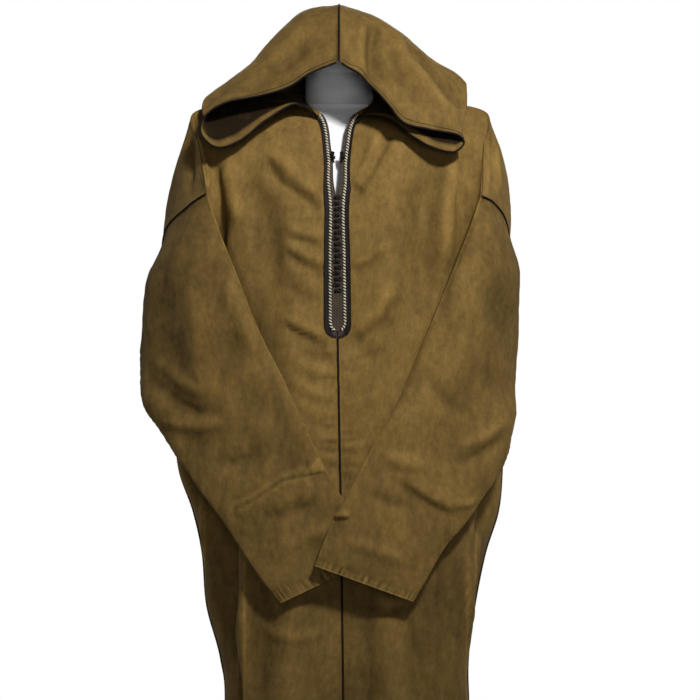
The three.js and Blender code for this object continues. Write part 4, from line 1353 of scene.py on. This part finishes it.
def side_cord(side):
    v = np.linspace(4 / (len(SKIRT) + 4) + 0.03, 0.998, 240)
    route = FRONTS[side].at(np.ones_like(v), v) + np.array([SIDES[side] * 1.9, 0.8, 0])
    out = np.tile([SIDES[side] * 1.0, 0, 0], (len(v), 1))
    return laid_cord(f"side_cord_{side}", route, out, 3.2, 2.6)


def armhole_cord(side):
    s = np.linspace(0.02, 0.44, 70)
    place_on = armhole_edge(side, s)
    out = SLEEVE[side].normal(s, np.full_like(s, 0.03))
    route = place_on + out * (CLOTH / 2 + 1.1)
    return laid_cord(f"armhole_cord_{side}", route, out, 2.4, 2.0)


def hood_edge_cord(side):
    """Piping on the hood's edge, and the second line of cord that holds its hem down."""
    heap = Heap()
    u = np.linspace(0.015, 0.994, 260)
    zero = np.zeros_like(u)
    hood = HOOD[side]
    edge = hood.at(u, zero)
    beyond = unit(edge - hood.at(u, zero + 0.02))
    normal = hood.out(u, zero + 0.004)
    for points, faces in twisted(edge + beyond * 0.9, normal, 0.75, 0.95, CORD_PITCH, steps=7):
        heap.add(points, faces)
    hemmed = np.full_like(u, 0.012)
    route, out = hood.at(u, hemmed, CLOTH / 2 + 0.1), hood.out(u, hemmed)
    heap.add(*tube(route, out, [0.55, 0.4], 6))
    return heap.piece(f"hood_edge_cord_{side}", [CORD_LOOK], "braid")


def hood_seam_cord():
    along = np.linspace(0.004, 1, 120)
    down = np.linspace(1, 0.46, 60)[1:]
    v = np.concatenate([along, np.ones(59)])
    u = np.concatenate([np.ones(120), down])
    left, right = HOOD[LEFT].at(u, v), HOOD[RIGHT].at(u, v)
    route = (left + right) / 2
    run = np.gradient(route, axis=0)
    out = unit(np.stack([np.zeros(len(u)), -run[:, 2], run[:, 1]], -1))
    return laid_cord("hood_seam_cord", route + out * 1.2, out, 3.0, 2.4)


for make in (knot_row, front_seam_cord, hood_seam_cord):
    make()
for side in SIDES:
    for make in (braid, twist, neck_knot, side_cord, armhole_cord, hood_edge_cord):
        make(side)

# ---- the dress form and its stand ---------------------------------------------------


def form_torso():
    around, down = 96, 120
    sections = np.array(TORSO, float)
    s = np.linspace(0, 1, down + 1)
    z, half, front, rear = on_curve(sections, s).T
    a = 2 * math.pi * np.arange(around) / around
    depth = np.where(np.sin(a)[None, :] < 0, front[:, None], rear[:, None])
    fullness = np.abs(np.sin(a)) ** 0.85 * np.sign(np.sin(a))
    points = np.stack([half[:, None] * np.cos(a), depth * fullness, np.repeat(z[:, None], around, 1)], -1)
    for seam in (0.25, 0.75, 0.65, 0.85, 0.15, 0.35):
        off = np.abs((a / (2 * math.pi) - seam + 0.5) % 1 - 0.5) * 2 * math.pi * 130
        points[..., :2] *= (1 - 0.006 * bell(off, 2.2))[None, :, None]
    points = points.reshape(-1, 3)
    number = joined_round(np.arange(len(points)).reshape(down + 1, around))
    faces = quads(number)[:, [0, 3, 2, 1]].tolist()
    faces += [number[0, :-1].tolist(), number[-1, :-1][::-1].tolist()]
    heap = Heap()
    heap.add(points, faces)
    return heap.piece("form_torso_cover", [COVER_LOOK], "form_cover", "form_torso")


def turned(name, profile, look, slot_name, replaced, around=96):
    """A solid of revolution about the stand's axis, from [radius, height] pairs, bottom to top."""
    points, faces = [], []
    for radius, z in profile:
        a = 2 * math.pi * np.arange(around) / around
        points.append(np.stack([radius * np.cos(a), radius * np.sin(a), np.full(around, z)], -1))
    number = joined_round(np.arange(len(profile) * around).reshape(len(profile), around))
    faces = quads(number).tolist()
    faces += [number[0, :-1][::-1].tolist(), number[-1, :-1].tolist()]
    heap = Heap()
    heap.add(np.concatenate(points), faces)
    return heap.piece(name, [look], slot_name, replaced)


def rounded(radius, low, high, bend):
    """The profile of a drum with soft edges."""
    inner = radius - bend
    foot, head = np.linspace(0.3, math.pi / 2, 5), np.linspace(0, math.pi / 2, 6)
    return [
        [inner, low],
        *([inner + bend * math.sin(a), low + bend * (1 - math.cos(a))] for a in foot),
        *([inner + bend * math.cos(a), high - bend * (1 - math.sin(a))] for a in head),
    ]


# radius and height, bottom to top
NECK = [
    [52, 1486.3], [52, 1510], [51.7, 1531], [51.2, 1532], [51.7, 1533], [50.9, 1570], [50.2, 1603],
    [49, 1605.4], [47, 1605.7],
]
BASE = [
    [184, 0], [188.5, 1.2], [190, 4], [190, 10], [188.6, 12.8], [185, 14], [120, 18.2], [60, 21.6],
    [34, 23.4], [24, 24],
]
CAP = rounded(46, 1606, 1618, 3)
POLE = rounded(15, 24.3, TORSO_BOTTOM - 0.3, 1)

form_torso()
turned("form_neck_band", NECK, NECK_LOOK, "form_cover", "form_neck")
turned("form_neck_cap", CAP, COVER_LOOK, "form_cover", "form_cap")
turned("stand_pole", POLE, STEEL_LOOK, "stand_metal", "form_pole", 64)
turned("stand_base", BASE, STEEL_LOOK, "stand_metal", "form_base", 128)

# ---- camera, light and floor --------------------------------------------------------

CAMERA_AT = np.array([16.5, -4500.0, 1112.0])
VIEW_LENGTH = 2940 / 700

camera_data = bpy.data.cameras.new("camera")
camera_data.sensor_width = 36
camera_data.lens = 36 * VIEW_LENGTH
camera_data.clip_end = 60
camera = bpy.data.objects.new("camera", camera_data)
camera.location = ((CAMERA_AT + SHIFT) * MM).tolist()
camera.rotation_euler = (math.pi / 2, 0, 0)
bpy.context.scene.collection.objects.link(camera)
bpy.context.scene.camera = camera


def lamp(kind, name, at, aim, power, **settings):
    light = bpy.data.lights.new(name, kind)
    light.energy = power
    for key, value in settings.items():
        setattr(light, key, value)
    holder = bpy.data.objects.new(name, light)
    holder.location = at
    direction = np.array(aim) - np.array(at)
    holder.rotation_euler = Vector(direction.tolist()).to_track_quat("-Z", "Y").to_euler()
    bpy.context.scene.collection.objects.link(holder)


lamp(
    "SPOT", "chest_light", (0.85, -2.2, 2.9), (0.02, -0.1, 1.24), 400,
    spot_size=math.radians(32), spot_blend=1.0, shadow_soft_size=0.17,
)
# place and aim in metres, size across in metres, power in watts
for name, at, aim, size, power in (
    ("key", (0.9, -1.7, 2.6), (0, -0.1, 1.2), 1.0, 8),
    ("fill", (0.4, -4.3, 1.4), (0, 0, 1.2), 1.2, 20),
    ("behind", (0.2, 3.4, 2.3), (0, 0, 1.1), 2.0, 95),
    ("left_side", (-2.9, 1.3, 1.9), (0, 0, 1.0), 1.6, 20),
    ("right_side", (2.9, 1.3, 1.9), (0, 0, 1.0), 1.6, 16),
):
    lamp("AREA", name, at, aim, power, shape="DISK", size=size)

WORLD_LIGHT = 0.15
world = bpy.data.worlds.new("studio")
world.use_nodes = True
tree = world.node_tree
shown = tree.nodes["Background"]
shown.inputs["Color"].default_value = (1, 1, 1, 1)
lit = tree.nodes.new("ShaderNodeBackground")
lit.inputs["Strength"].default_value = WORLD_LIGHT
path = tree.nodes.new("ShaderNodeLightPath")
choice = tree.nodes.new("ShaderNodeMixShader")
tree.links.new(path.outputs["Is Camera Ray"], choice.inputs[0])
tree.links.new(lit.outputs[0], choice.inputs[1])
tree.links.new(shown.outputs[0], choice.inputs[2])
tree.links.new(choice.outputs[0], tree.nodes["World Output"].inputs["Surface"])
bpy.context.scene.world = world


def studio_floor():
    n = Nodes("pale_floor")
    colour = n.mix(n.ramp(n.noise(3.0), 0.3, 0.7), srgb(236, 236, 234), srgb(242, 242, 241))
    n.link(colour, n.shader.inputs["Base Color"])
    n.shader.inputs["Roughness"].default_value = 0.85
    n.shader.inputs["Specular IOR Level"].default_value = 0.2
    mesh = bpy.data.meshes.new("floor")
    a = 2 * math.pi * np.arange(64) / 64
    ring = np.stack([1.7 * np.cos(a), 1.7 * np.sin(a), np.zeros(64)], -1)
    mesh.from_pydata(ring.tolist(), [], [list(range(64))])
    mesh.materials.append(n.material)
    floor = bpy.data.objects.new("floor", mesh)
    floor.location = (0, 0, -0.0002)
    bpy.context.scene.collection.objects.link(floor)


studio_floor()
bpy.context.scene.view_settings.view_transform = "Standard"
